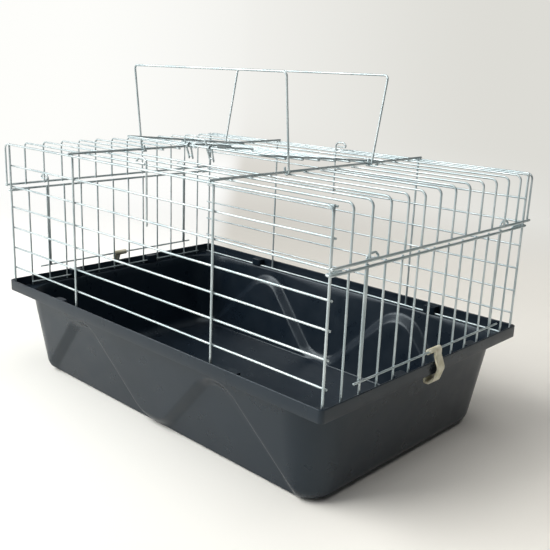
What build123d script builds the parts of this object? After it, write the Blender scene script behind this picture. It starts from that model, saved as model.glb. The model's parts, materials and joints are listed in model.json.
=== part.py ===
from build123d import *
import os
from math import asin, atan, atan2, cos, degrees, hypot, radians, sin, tan

# Small animal cage: a deep plastic tray with a wire top, a roof lid and two carrying bails.
# Millimetres, +Z up. X runs along the length, -Y is the front.
# The origin is the middle of the tray's flat bottom.

# Tray
TRAY_LENGTH = 583.0
TRAY_WIDTH = 384.0
TRAY_HEIGHT = 131.0
RIM_BAND_HEIGHT = 15.0
RIM_BAND_THICKNESS = 2.0
RIM_CORNER_RADIUS = 5.5
RIM_INSIDE_RADIUS = 9.0
RIM_EDGE_ROUND = 0.8
TRAY_WALL = 2.2
TRAY_FLOOR = 2.4
LEDGE_WIDTH = 10.0
FOOT_INSET = 29.0
FOOT_CORNER_RADIUS = 32.0
FOOT_ROUND = 19.0

# Arches pressed into the long walls
ARCH_DEPTH = 6.8
ARCH_STEP_WIDTH = 11.0
ARCH_TOP_GAP = 8.0
ARCH_FLANK_ANGLE = 46.5
ARCH_PEAK_ROUND = 43.0
ARCH_TROUGH_HEIGHT = 11.5
ARCH_TROUGH_FLAT = 38.0
ARCH_TROUGH_ROUND = 40.0

# Tabs inside the rim band
TAB_LENGTH = 14.0
TAB_DEPTH = 6.0
TAB_HEIGHT = 4.0
TAB_BELOW_RIM = 2.0
FRONT_TAB_X = (-190.0, 152.0)
END_TAB_BAR_GAPS = (2, -3)

# Wire diameters
THIN_WIRE = 2.4
UPRIGHT_WIRE = 2.8
RAIL_WIRE = 3.0
BAIL_WIRE = 2.6

# How far a welded wire bites into its neighbour, and the gaps between pieces
WELD_BITE = 0.1
SEAT_GAP = 0.2
SIDE_PANEL_GAP = 3.1
END_PANEL_GAP = 2.1
BESIDE_GAP = 0.05
HOOK_GAP = 0.1
BAIL_GAP = 0.05
EYE_GAP = 0.1
CLIP_GAP = 0.08
LATCH_REST_GAP = 0.3

# Front and rear panels
SIDE_WIRE_COUNT = 7
SIDE_WIRE_PITCH = 29.0
SIDE_WIRE_NUB = 1.0
UPRIGHT_NUB = 1.9
BAY_LENGTH = 259.0

# End panels
END_BAR_COUNT = 12
END_BAR_INSET = 27.1
END_BAR_NUB = 2.0
TOP_RAIL_DROP = 4.7
TOP_RAIL_RETURN = 20.0
TIE_BAR_HEIGHT = 12.0
TIE_BAR_OVERHANG = 13.4
END_BOTTOM_WIRE_HEIGHT = 3.6

# Roof
ROOF_WIRE_COUNT = 14
ROOF_LID_WIRE_COUNT = 6
ROOF_OVERHANG = 4.3
ROOF_BEND_RADIUS = 7.0
ROOF_RAIL_RISE = 7.0
ROOF_WIRE_NUB = 1.5
CROSS_ROD_OVERHANG = 2.2

# Rods with a D-shaped eye
D_LENGTH = 19.0
D_HEIGHT = 6.2
D_NECK_RISE = 2.8
D_SHOULDER_REACH = 5.0
D_BROW_REACH = 13.7
D_SHOULDER_ROUND = 3.7
D_BROW_ROUND = 4.6
D_TIP_ROUND = 1.8
D_END_GAP = 0.6
LEFT_D_OVER_RAIL = 0.3
RIGHT_D_DROP = 1.2
FRONT_ROD_X = 13.0
REAR_ROD_X = -8.5
MIDDLE_ROD_TAIL = 6.7
MIDDLE_D_RISE = 4.9

# Lid
LID_SIDE_GAP = 7.5
LID_FRONT_OVERHANG = 8.3
LID_CORNER_ROUND = 6.0
LID_WIRE_NUB = 0.8
LID_AJAR_ANGLE = 5.2
LID_EYE_TURN_ANGLE = 262.0
LID_SHORT_WIRE_SPACING = 40.0
LID_SHORT_WIRE_SHIFT = -8.0

# Lid latch
LATCH_CENTRE_X = 20.5
LATCH_EYE_SPACING = 37.0
LATCH_LOOP_WIDTH = 6.6
LATCH_LOOP_STRAIGHT = 4.0
LATCH_LOOP_FLARE = 2.2
LATCH_FLARE_ROUND = 11.0
LATCH_ARCH_HEIGHT = 8.0
LATCH_ARCH_ROUND = 2.8
LATCH_EYE_TURN_ANGLE = 215.0

# Carrying bails
BAIL_HEIGHT = 111.0
BAIL_CORNER_ROUND = 5.0
BAIL_RETURN = 2.5
BAIL_SIDE_SHIFT = 3.0
FRONT_BAIL_LEAN_ANGLE = 5.5
REAR_BAIL_LEAN_ANGLE = 11.5

# Clips
CLIP_BARREL_WALL = 2.4
CLIP_THICKNESS = 2.5
CLIP_SIDE_GAP = 0.6
CLIP_MOUTH_START_ANGLE = 255.0
CLIP_MOUTH_END_ANGLE = 300.0
CLIP_NECK_DROP = 5.5
CLIP_BOW_REACH = 5.5
CLIP_BOW_DROP = 7.5
CLIP_HOOK_DEPTH = 9.6
CLIP_HOOK_INSIDE = 4.1
CLIP_LIP_GAP = 0.7
CLIP_NECK_ROUND = 3.5
CLIP_BOW_ROUND = 7.0
CLIP_HOOK_ROUND = 2.3
CLIP_LIP_ROUND = 1.6
CLIP_CHIN_RISE = 5.0

# Sizes and places worked out from the values above
half_length = TRAY_LENGTH / 2
half_width = TRAY_WIDTH / 2
rim_bottom = TRAY_HEIGHT - RIM_BAND_HEIGHT
ledge_top = rim_bottom + TRAY_WALL
draft = degrees(atan((FOOT_INSET - LEDGE_WIDTH) / rim_bottom))

band_inside_x = half_length - RIM_BAND_THICKNESS
band_inside_y = half_width - RIM_BAND_THICKNESS

upright_x = band_inside_x - END_PANEL_GAP - UPRIGHT_WIRE / 2
upright_y = band_inside_y - SIDE_PANEL_GAP - UPRIGHT_WIRE / 2
bay_x = BAY_LENGTH / 2
side_wire_y = upright_y - (UPRIGHT_WIRE + THIN_WIRE) / 2 + WELD_BITE
bottom_wire_z = ledge_top + SEAT_GAP + THIN_WIRE / 2
side_wire_heights = [bottom_wire_z + SIDE_WIRE_PITCH * (i + 1) for i in range(SIDE_WIRE_COUNT)]
top_side_wire_z = side_wire_heights[-1]
third_side_wire_z = side_wire_heights[-3]
upright_top = top_side_wire_z + UPRIGHT_NUB

rail_hook_radius = (UPRIGHT_WIRE + RAIL_WIRE) / 2 + HOOK_GAP
top_rail_x = upright_x + rail_hook_radius
top_rail_z = third_side_wire_z - TOP_RAIL_DROP
end_bar_x = top_rail_x - (RAIL_WIRE + THIN_WIRE) / 2 + WELD_BITE
end_bar_edge_y = upright_y - END_BAR_INSET
end_bar_pitch = 2 * end_bar_edge_y / (END_BAR_COUNT - 1)
end_bar_places = [end_bar_pitch * (i - (END_BAR_COUNT - 1) / 2) for i in range(END_BAR_COUNT)]
tie_bar_x = end_bar_x + THIN_WIRE - WELD_BITE
tie_bar_z = TRAY_HEIGHT + TIE_BAR_HEIGHT
end_bottom_wire_x = end_bar_x - THIN_WIRE + WELD_BITE
end_bottom_wire_z = ledge_top + END_BOTTOM_WIRE_HEIGHT + THIN_WIRE / 2

cross_rod_z = upright_top + SEAT_GAP + RAIL_WIRE / 2
roof_z = cross_rod_z - (RAIL_WIRE + THIN_WIRE) / 2 + WELD_BITE
roof_bend_x = end_bar_x + THIN_WIRE + SEAT_GAP
roof_rail_x = roof_bend_x + (RAIL_WIRE + THIN_WIRE) / 2 - WELD_BITE
roof_rail_z = top_rail_z + ROOF_RAIL_RISE
roof_wire_end_z = roof_rail_z - ROOF_WIRE_NUB
left_eye_z = roof_rail_z + (RAIL_WIRE + THIN_WIRE) / 2 + LEFT_D_OVER_RAIL
right_eye_z = roof_rail_z - RIGHT_D_DROP
roof_edge_y = upright_y + ROOF_OVERHANG
roof_pitch = 2 * roof_edge_y / (ROOF_WIRE_COUNT - 1)
roof_wire_places = [roof_pitch * (i - (ROOF_WIRE_COUNT - 1) / 2) for i in range(ROOF_WIRE_COUNT)]
cut_from = (ROOF_WIRE_COUNT - ROOF_LID_WIRE_COUNT) // 2
lid_wire_places = roof_wire_places[cut_from:cut_from + ROOF_LID_WIRE_COUNT]
full_wire_places = roof_wire_places[:cut_from] + roof_wire_places[cut_from + ROOF_LID_WIRE_COUNT:]
latch_wire_y = roof_wire_places[cut_from - 1]
hinge_wire_y = roof_wire_places[cut_from + ROOF_LID_WIRE_COUNT]

eye_radius = THIN_WIRE + EYE_GAP
lid_side_x = bay_x - LID_SIDE_GAP
lid_front_y = latch_wire_y - LID_FRONT_OVERHANG
lid_frame_z = roof_z + eye_radius
lid_wire_z = lid_frame_z - THIN_WIRE + WELD_BITE
lid_hinge = Axis((0, hinge_wire_y, roof_z), (1, 0, 0))

bail_hook_radius = (RAIL_WIRE + BAIL_WIRE) / 2 + BAIL_GAP
bail_pivot_z = cross_rod_z - bail_hook_radius
front_bail_y = lid_wire_places[0] - BAIL_SIDE_SHIFT
rear_bail_y = lid_wire_places[-1] + BAIL_SIDE_SHIFT


def straight_wire(start, end, diameter):
    """One straight round wire between two points."""
    run = Vector(*end) - Vector(*start)
    section = Plane(origin=start, z_dir=run) * Circle(diameter / 2)
    return extrude(section, amount=run.length)


def wire_along(path, diameter):
    """One round wire swept along a path of straight runs and tangent arcs."""
    section = Plane(origin=path @ 0, z_dir=path % 0) * Circle(diameter / 2)
    return sweep(section, path=path)


def bent_wire(points, radii, diameter):
    """One round wire through the points, with its corners bent to the radii."""
    return wire_along(FilletPolyline(*points, radius=radii), diameter)


def arc_about(centre, radius, start_angle, turn):
    """Start, middle and end of an arc in its own plane, angles in degrees."""
    angles = [radians(start_angle + turn * share) for share in (0, 0.5, 1)]
    return [(centre[0] + radius * cos(a), centre[1] + radius * sin(a)) for a in angles]


def save(name, *pieces):
    """Write one node, with each of its pieces as a separate solid."""
    solids = [solid for piece in pieces for solid in piece.solids()]
    export_step(Compound(solids), os.path.join("parts", name + ".step"))


def arch_outline():
    """Outline of both arches on the flat of a long wall, measured up the wall from the foot."""
    flank = tan(radians(ARCH_FLANK_ANGLE))
    rounding = ARCH_PEAK_ROUND * (1 / cos(radians(ARCH_FLANK_ANGLE)) - 1)
    apex = rim_bottom - ARCH_TOP_GAP + rounding
    below_foot = -FOOT_ROUND
    trough_x = ARCH_TROUGH_FLAT / 2
    peak_x = trough_x + (apex - ARCH_TROUGH_HEIGHT) / flank
    end_x = peak_x + (apex - below_foot) / flank
    corners = [(-end_x, below_foot), (-peak_x, apex), (-trough_x, ARCH_TROUGH_HEIGHT)]
    corners += [(-x, height) for x, height in reversed(corners)]
    outline = make_face(Polyline(*corners, close=True))
    by_height = outline.vertices().group_by(Axis.Y)
    outline = fillet(by_height[-1], ARCH_PEAK_ROUND)
    return fillet(outline.vertices().group_by(Axis.Y)[1], ARCH_TROUGH_ROUND)


def arch_recess(side, depth_shift):
    """Solid that presses the arches into one long wall; side is -1 for the front and 1 for the rear."""
    tilt = radians(draft)
    inward = Vector(0, -side * cos(tilt), sin(tilt))
    foot_line = Vector(0, side * (half_width - FOOT_INSET), 0)
    surface = Plane(origin=foot_line + inward * depth_shift, x_dir=(side, 0, 0), z_dir=inward)
    outline = arch_outline()
    mouth = offset(outline, amount=ARCH_STEP_WIDTH, kind=Kind.INTERSECTION)
    floor = offset(outline, amount=-ARCH_STEP_WIDTH, kind=Kind.INTERSECTION)
    return loft([surface.offset(-ARCH_DEPTH) * mouth, surface.offset(ARCH_DEPTH) * floor], ruled=True)


def tub(inset, floor_height, foot_round, top):
    """Tapered tub body with a rounded foot, inset from the outer wall and closed at both ends."""
    side = inset / cos(radians(draft)) - floor_height * tan(radians(draft))
    length = 2 * (half_length - FOOT_INSET - side)
    width = 2 * (half_width - FOOT_INSET - side)
    foot = Plane.XY.offset(floor_height) * RectangleRounded(length, width, FOOT_CORNER_RADIUS - side)
    body = extrude(foot, amount=top - floor_height, taper=-draft)
    return fillet(body.faces().sort_by(Axis.Z)[0].edges(), foot_round)


def rim_tab(x, y, turn):
    """One wedge-shaped tab on the inside of the rim band, facing -Y before it is turned."""
    top = TRAY_HEIGHT - TAB_BELOW_RIM
    profile = Polyline((0, top), (0, top - TAB_HEIGHT), (-TAB_DEPTH, top - TAB_HEIGHT), close=True)
    wedge = extrude(Plane.YZ * make_face(profile), amount=TAB_LENGTH / 2, both=True)
    return Pos(x, y, 0) * Rot(0, 0, turn) * wedge


def tray():
    """The moulded tray: tub, ledge, rim band, arches and tabs in one solid."""
    outside = tub(0, 0, FOOT_ROUND, ledge_top)
    inside = tub(TRAY_WALL, TRAY_FLOOR, FOOT_ROUND - TRAY_WALL, TRAY_HEIGHT)
    for side in (-1, 1):
        outside -= arch_recess(side, 0)
        inside -= arch_recess(side, TRAY_WALL)
    rim = RectangleRounded(TRAY_LENGTH, TRAY_WIDTH, RIM_CORNER_RADIUS)
    rim_hole = RectangleRounded(2 * band_inside_x, 2 * band_inside_y, RIM_INSIDE_RADIUS)
    ledge = extrude(Plane.XY.offset(rim_bottom) * rim, amount=TRAY_WALL)
    band = extrude(Plane.XY.offset(rim_bottom) * (rim - rim_hole), amount=RIM_BAND_HEIGHT)
    whole = outside + ledge - inside + band
    for x in FRONT_TAB_X:
        whole += rim_tab(x, -band_inside_y, 180)
        whole += rim_tab(-x, band_inside_y, 0)
    for gap in END_TAB_BAR_GAPS:
        whole += rim_tab(-band_inside_x, gap * end_bar_pitch, 90)
        whole += rim_tab(band_inside_x, -gap * end_bar_pitch, -90)
    rim_top = whole.faces().sort_by(Axis.Z)[-1]
    return fillet(rim_top.edges(), RIM_EDGE_ROUND)


def side_wires(side):
    """The seven long wires of the front or the rear panel."""
    end_x = upright_x + UPRIGHT_WIRE / 2 + SIDE_WIRE_NUB
    y = side * side_wire_y
    return [straight_wire((-end_x, y, z), (end_x, y, z), THIN_WIRE) for z in side_wire_heights]


def side_bottom_wire(side):
    """The wire of the front or the rear panel that lies on the tray's ledge."""
    end_x = upright_x + UPRIGHT_WIRE / 2
    y = side * side_wire_y
    return straight_wire((-end_x, y, bottom_wire_z), (end_x, y, bottom_wire_z), THIN_WIRE)


def uprights(side, x):
    """The left and right upright of a panel at the same distance from the middle."""
    y = side * upright_y
    foot = ledge_top + SEAT_GAP
    return [straight_wire((sign * x, y, foot), (sign * x, y, upright_top), UPRIGHT_WIRE) for sign in (-1, 1)]


def d_eye_rod(foot_z, eye_z):
    """Upright rod on the Z axis whose top is bent to a D that reaches along +X."""
    neck = (0, 0, eye_z + D_NECK_RISE)
    shoulder = (D_SHOULDER_REACH, 0, eye_z + D_HEIGHT)
    brow = (D_BROW_REACH, 0, eye_z + D_HEIGHT)
    tip = (D_LENGTH + D_TIP_ROUND, 0, eye_z)
    tail = (THIN_WIRE + D_END_GAP, 0, eye_z)
    points = [(0, 0, foot_z), neck, shoulder, brow, tip, tail]
    radii = [D_SHOULDER_ROUND, D_SHOULDER_ROUND, D_BROW_ROUND, D_TIP_ROUND]
    return bent_wire(points, radii, THIN_WIRE)


def middle_rod(side, x):
    """The short rod inside the front or rear wires, with its eye just over the roof."""
    rod = d_eye_rod(third_side_wire_z - MIDDLE_ROD_TAIL, roof_z + MIDDLE_D_RISE)
    y = side * (side_wire_y - THIN_WIRE + WELD_BITE)
    turn = 0 if side > 0 else 180
    return Pos(x, y, 0) * Rot(0, 0, turn) * rod


def end_rods(end, offsets, turn, eye_z):
    """The two rods of an end panel, each welded beside the second bar from its corner."""
    rod = d_eye_rod(tie_bar_z, eye_z)
    beside = THIN_WIRE + BESIDE_GAP
    places = [end_bar_places[1] + offsets[0] * beside, end_bar_places[-2] + offsets[1] * beside]
    return [Pos(end * end_bar_x, y, 0) * Rot(0, 0, turn) * rod for y in places]


def end_bars(end):
    """The upright bars of one end panel."""
    x = end * end_bar_x
    foot = ledge_top + SEAT_GAP
    top = top_rail_z + END_BAR_NUB
    return [straight_wire((x, y, foot), (x, y, top), THIN_WIRE) for y in end_bar_places]


def end_top_rail(end):
    """Top rail of an end panel, hooked round both corner uprights."""
    inside_x = upright_x - rail_hook_radius
    tip_y = upright_y - TOP_RAIL_RETURN
    far = upright_y + rail_hook_radius

    def at(x, y):
        return (end * x, y, top_rail_z)

    path = Wire([
        Line(at(inside_x, -tip_y), at(inside_x, -upright_y)),
        ThreePointArc(at(inside_x, -upright_y), at(upright_x, -far), at(top_rail_x, -upright_y)),
        Line(at(top_rail_x, -upright_y), at(top_rail_x, upright_y)),
        ThreePointArc(at(top_rail_x, upright_y), at(upright_x, far), at(inside_x, upright_y)),
        Line(at(inside_x, upright_y), at(inside_x, tip_y)),
    ])
    return wire_along(path, RAIL_WIRE)


def end_tie_bar(end):
    """Low bar outside the end bars, which the clip grips."""
    reach = end_bar_places[-2] + TIE_BAR_OVERHANG
    x = end * tie_bar_x
    return straight_wire((x, -reach, tie_bar_z), (x, reach, tie_bar_z), THIN_WIRE)


def end_bottom_wire(end):
    """Low wire inside the end bars, just over the tray's ledge."""
    reach = end_bar_edge_y + END_BAR_NUB
    x = end * end_bottom_wire_x
    return straight_wire((x, -reach, end_bottom_wire_z), (x, reach, end_bottom_wire_z), THIN_WIRE)


def roof_full_wires():
    """Roof wires that run from end to end and are bent down over both end panels."""
    wires = []
    for y in full_wire_places:
        points = [(-roof_bend_x, y, roof_wire_end_z), (-roof_bend_x, y, roof_z)]
        points += [(roof_bend_x, y, roof_z), (roof_bend_x, y, roof_wire_end_z)]
        wires.append(bent_wire(points, [ROOF_BEND_RADIUS] * 2, THIN_WIRE))
    return wires


def roof_cut_wires():
    """Roof wires that stop at the lid opening, bent down over one end panel."""
    inner_x = bay_x - RAIL_WIRE / 2 - ROOF_WIRE_NUB
    wires = []
    for y in lid_wire_places:
        for end in (-1, 1):
            points = [(end * inner_x, y, roof_z), (end * roof_bend_x, y, roof_z)]
            points += [(end * roof_bend_x, y, roof_wire_end_z)]
            wires.append(bent_wire(points, [ROOF_BEND_RADIUS], THIN_WIRE))
    return wires


def roof_cross_rods():
    """The two rods over the roof wires that border the lid opening."""
    reach = roof_edge_y + CROSS_ROD_OVERHANG
    rods = []
    for x in (-bay_x, bay_x):
        rods.append(straight_wire((x, -reach, cross_rod_z), (x, reach, cross_rod_z), RAIL_WIRE))
    return rods


def roof_end_rails():
    """The rails along the bent-down ends of the roof wires."""
    reach = roof_edge_y + THIN_WIRE / 2
    rails = []
    for x in (-roof_rail_x, roof_rail_x):
        rails.append(straight_wire((x, -reach, roof_rail_z), (x, reach, roof_rail_z), RAIL_WIRE))
    return rails


def lid_frame():
    """Bent frame wire of the lid, with an eye round the hinge wire at each rear end."""
    eye = arc_about((hinge_wire_y, roof_z), eye_radius, 90, -LID_EYE_TURN_ANGLE)
    corner_y = lid_front_y + LID_CORNER_ROUND
    corner_x = lid_side_x - LID_CORNER_ROUND
    bend = LID_CORNER_ROUND * (1 - cos(radians(45)))

    def half(end):
        x = end * lid_side_x
        eye_points = [(x, y, z) for y, z in eye]
        corner_middle = (end * (lid_side_x - bend), lid_front_y + bend, lid_frame_z)
        front = (end * corner_x, lid_front_y, lid_frame_z)
        return eye_points, (x, corner_y, lid_frame_z), corner_middle, front

    left_eye, left_corner, left_middle, left_front = half(-1)
    right_eye, right_corner, right_middle, right_front = half(1)
    path = Wire([
        ThreePointArc(*reversed(left_eye)),
        Line(left_eye[0], left_corner),
        ThreePointArc(left_corner, left_middle, left_front),
        Line(left_front, right_front),
        ThreePointArc(right_front, right_middle, right_corner),
        Line(right_corner, right_eye[0]),
        ThreePointArc(*right_eye),
    ])
    return wire_along(path, THIN_WIRE).rotate(lid_hinge, -LID_AJAR_ANGLE)


def lid_long_wires():
    """The wires that close the lid, in line with the cut roof wires."""
    end_x = lid_side_x + THIN_WIRE / 2 + LID_WIRE_NUB
    wires = []
    for y in lid_wire_places:
        wire = straight_wire((-end_x, y, lid_wire_z), (end_x, y, lid_wire_z), THIN_WIRE)
        wires.append(wire.rotate(lid_hinge, -LID_AJAR_ANGLE))
    return wires


def lid_short_wires():
    """Two short wires over the three foremost lid wires."""
    start_y = lid_wire_places[0] - THIN_WIRE
    end_y = lid_wire_places[2] + THIN_WIRE
    wires = []
    for sign in (-1, 1):
        x = LID_SHORT_WIRE_SHIFT + sign * LID_SHORT_WIRE_SPACING / 2
        wires.append(straight_wire((x, start_y, lid_frame_z), (x, end_y, lid_frame_z), THIN_WIRE))
    return [wire.rotate(lid_hinge, -LID_AJAR_ANGLE) for wire in wires]


def lid_front_axis():
    """Place of the lid's front wire, seen from the end, with the lid ajar."""
    turn = radians(LID_AJAR_ANGLE)
    forward = hinge_wire_y - lid_front_y
    rise = lid_frame_z - roof_z
    y = hinge_wire_y - forward * cos(turn) + rise * sin(turn)
    z = roof_z + forward * sin(turn) + rise * cos(turn)
    return y, z


def lid_latch():
    """Latch wire: a finger arch over two loops that stand on the roof wire behind the lid's front."""
    axis_y, axis_z = lid_front_axis()
    foot_y = latch_wire_y
    foot_z = roof_z + THIN_WIRE + LATCH_REST_GAP
    reach = hypot(foot_y - axis_y, foot_z - axis_z)
    lean = atan2(foot_y - axis_y, axis_z - foot_z) - asin(eye_radius / reach)
    drop = reach * cos(asin(eye_radius / reach))

    def at(x, down, behind):
        y = axis_y + down * sin(lean) + behind * cos(lean)
        z = axis_z - down * cos(lean) + behind * sin(lean)
        return (x, y, z)

    loop_radius = LATCH_LOOP_WIDTH / 2
    leg_end = drop - loop_radius
    left_eye_x = LATCH_CENTRE_X - LATCH_EYE_SPACING / 2
    right_eye_x = LATCH_CENTRE_X + LATCH_EYE_SPACING / 2
    eye = arc_about((0, 0), eye_radius, 0, LATCH_EYE_TURN_ANGLE)

    def loop_pieces(eye_x):
        inner_x = eye_x - LATCH_LOOP_WIDTH
        eye_points = [at(eye_x, -up, behind) for behind, up in eye]
        straight = [
            ThreePointArc(*reversed(eye_points)),
            Line(at(eye_x, 0, eye_radius), at(eye_x, leg_end, eye_radius)),
            ThreePointArc(
                at(eye_x, leg_end, eye_radius),
                at(eye_x - loop_radius, drop, eye_radius),
                at(inner_x, leg_end, eye_radius),
            ),
        ]
        return straight, inner_x

    left_pieces, left_x = loop_pieces(left_eye_x)
    right_pieces, right_x = loop_pieces(right_eye_x)
    arch_points = [
        at(left_x, leg_end, eye_radius),
        at(left_x, leg_end - LATCH_LOOP_STRAIGHT, eye_radius),
        at(left_x - LATCH_LOOP_FLARE, 0, eye_radius),
        at(left_x - LATCH_LOOP_FLARE, -LATCH_ARCH_HEIGHT, eye_radius),
        at(right_x - LATCH_LOOP_FLARE, -LATCH_ARCH_HEIGHT, eye_radius),
        at(right_x - LATCH_LOOP_FLARE, 0, eye_radius),
        at(right_x, leg_end - LATCH_LOOP_STRAIGHT, eye_radius),
        at(right_x, leg_end, eye_radius),
    ]
    radii = [LATCH_FLARE_ROUND] * 2 + [LATCH_ARCH_ROUND] * 2 + [LATCH_FLARE_ROUND] * 2
    arch = FilletPolyline(*arch_points, radius=radii)
    path = Wire(left_pieces + arch.edges() + right_pieces)
    return wire_along(path, THIN_WIRE)


def bail(pivot_y, lean):
    """Carrying bail, hooked under both cross rods; lean is its tilt towards the rear in degrees."""
    inner_x = bay_x - bail_hook_radius
    outer_x = bay_x + bail_hook_radius
    tip = 2 * bail_hook_radius + BAIL_RETURN
    corner = BAIL_HEIGHT - BAIL_CORNER_ROUND
    bend = BAIL_CORNER_ROUND * (1 - cos(radians(45)))

    def at(x, rise):
        return (x, pivot_y + rise * sin(radians(lean)), bail_pivot_z + rise * cos(radians(lean)))

    def hook(end):
        return [at(end * inner_x, tip), at(end * inner_x, bail_hook_radius), at(end * bay_x, 0),
                at(end * outer_x, bail_hook_radius), at(end * outer_x, corner)]

    def corner_arc(end):
        middle = at(end * (outer_x - bend), BAIL_HEIGHT - bend)
        return at(end * outer_x, corner), middle, at(end * (outer_x - BAIL_CORNER_ROUND), BAIL_HEIGHT)

    left, right = hook(-1), hook(1)
    left_arc, right_arc = corner_arc(-1), corner_arc(1)
    path = Wire([
        Line(left[0], left[1]),
        ThreePointArc(left[1], left[2], left[3]),
        Line(left[3], left[4]),
        ThreePointArc(*left_arc),
        Line(left_arc[2], right_arc[2]),
        ThreePointArc(*reversed(right_arc)),
        Line(right[4], right[3]),
        ThreePointArc(right[3], right[2], right[1]),
        Line(right[1], right[0]),
    ])
    return wire_along(path, BAIL_WIRE)


def clip(turn):
    """Plastic clip that hangs on the tie bar and hooks under the rim; turned about Z to its end."""
    bore = THIN_WIRE / 2 + CLIP_GAP
    barrel_radius = bore + CLIP_BARREL_WALL
    width = end_bar_pitch - THIN_WIRE - 2 * CLIP_SIDE_GAP
    hub = Plane(origin=(tie_bar_x, 0, tie_bar_z), x_dir=(1, 0, 0), z_dir=(0, -1, 0))

    mouth_angles = [radians(CLIP_MOUTH_START_ANGLE), radians(CLIP_MOUTH_END_ANGLE)]
    mouth_reach = 2 * barrel_radius
    mouth = [(mouth_reach * cos(a), mouth_reach * sin(a)) for a in mouth_angles]
    ring = Circle(barrel_radius) - Circle(bore) - make_face(Polyline((0, 0), *mouth, close=True))
    barrel = extrude(hub * ring, amount=width / 2, both=True)

    lip_z = tie_bar_z - rim_bottom + CLIP_LIP_GAP
    hook_z = lip_z + CLIP_HOOK_DEPTH - CLIP_THICKNESS / 2
    neck_x = bore + CLIP_BARREL_WALL / 2
    rim_x = half_length - tie_bar_x
    bow_x = rim_x + CLIP_BOW_REACH
    bow_z = TIE_BAR_HEIGHT + CLIP_BOW_DROP
    lip_x = rim_x - CLIP_HOOK_INSIDE - CLIP_THICKNESS
    chin_share = CLIP_CHIN_RISE / (hook_z - bow_z)
    chin = (rim_x + (bow_x - rim_x) * chin_share, -hook_z + CLIP_CHIN_RISE)

    def band(points, radii, start_y, end_y):
        path = FilletPolyline(*[hub.from_local_coords(Vector(x, z, 0)) for x, z in points], radius=radii)
        across = Plane(origin=path @ 0, x_dir=(0, 1, 0), z_dir=path % 0)
        section = Pos((start_y + end_y) / 2, 0) * Rectangle(end_y - start_y, CLIP_THICKNESS)
        return sweep(across * section, path=path)

    hook_points = [(rim_x, -hook_z), (lip_x, -hook_z), (lip_x, -lip_z)]
    strap_points = [(neck_x, 0), (neck_x, -CLIP_NECK_DROP), (bow_x, -bow_z)] + hook_points
    strap_radii = [CLIP_NECK_ROUND, CLIP_BOW_ROUND, CLIP_HOOK_ROUND, CLIP_LIP_ROUND]
    strap = band(strap_points, strap_radii, 0, width / 2)
    chin_hook = band([chin] + hook_points, strap_radii[2:], -width / 2, 0)
    whole = barrel + (strap - hub * Cylinder(bore, width)) + chin_hook
    return whole.rotate(Axis.Z, turn)


os.makedirs("parts", exist_ok=True)

save("tray", tray())
save("front_side_wires", *side_wires(-1))
save("rear_side_wires", *side_wires(1))
save("front_bottom_wire", side_bottom_wire(-1))
save("rear_bottom_wire", side_bottom_wire(1))
save("front_corner_uprights", *uprights(-1, upright_x))
save("rear_corner_uprights", *uprights(1, upright_x))
save("front_middle_uprights", *uprights(-1, bay_x))
save("rear_middle_uprights", *uprights(1, bay_x))
save("front_eye_rod", middle_rod(-1, FRONT_ROD_X))
save("rear_eye_rod", middle_rod(1, REAR_ROD_X))

save("left_end_bars", *end_bars(-1))
save("right_end_bars", *end_bars(1))
save("left_end_top_rail", end_top_rail(-1))
save("right_end_top_rail", end_top_rail(1))
save("left_end_tie_bar", end_tie_bar(-1))
save("right_end_tie_bar", end_tie_bar(1))
save("left_end_bottom_wire", end_bottom_wire(-1))
save("right_end_bottom_wire", end_bottom_wire(1))
save("left_eye_rods", *end_rods(-1, (1, -1), 180, left_eye_z))
save("right_eye_rods", *end_rods(1, (-1, -1), 90, right_eye_z))

save("roof_long_wires", *roof_full_wires())
save("roof_cut_wires", *roof_cut_wires())
save("roof_cross_rods", *roof_cross_rods())
save("roof_end_rails", *roof_end_rails())

save("lid_frame", lid_frame())
save("lid_long_wires", *lid_long_wires())
save("lid_short_wires", *lid_short_wires())
save("lid_latch", lid_latch())
save("front_bail", bail(front_bail_y, -FRONT_BAIL_LEAN_ANGLE))
save("rear_bail", bail(rear_bail_y, REAR_BAIL_LEAN_ANGLE))
save("right_clip", clip(0))
save("left_clip", clip(180))
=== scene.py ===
"""Looks of a small animal cage: a dark moulded tray under a bright zinc wire top.

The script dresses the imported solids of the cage. Places are read from the frame, and sizes
that the frame doesn't give are fields of the class that uses them. Everything is in metres.
"""

from __future__ import annotations

import json
import logging
import math
from collections.abc import Iterable
from dataclasses import dataclass, field
from enum import Enum

import bmesh
import bpy
import numpy as np
from mathutils import Matrix, Vector

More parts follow.
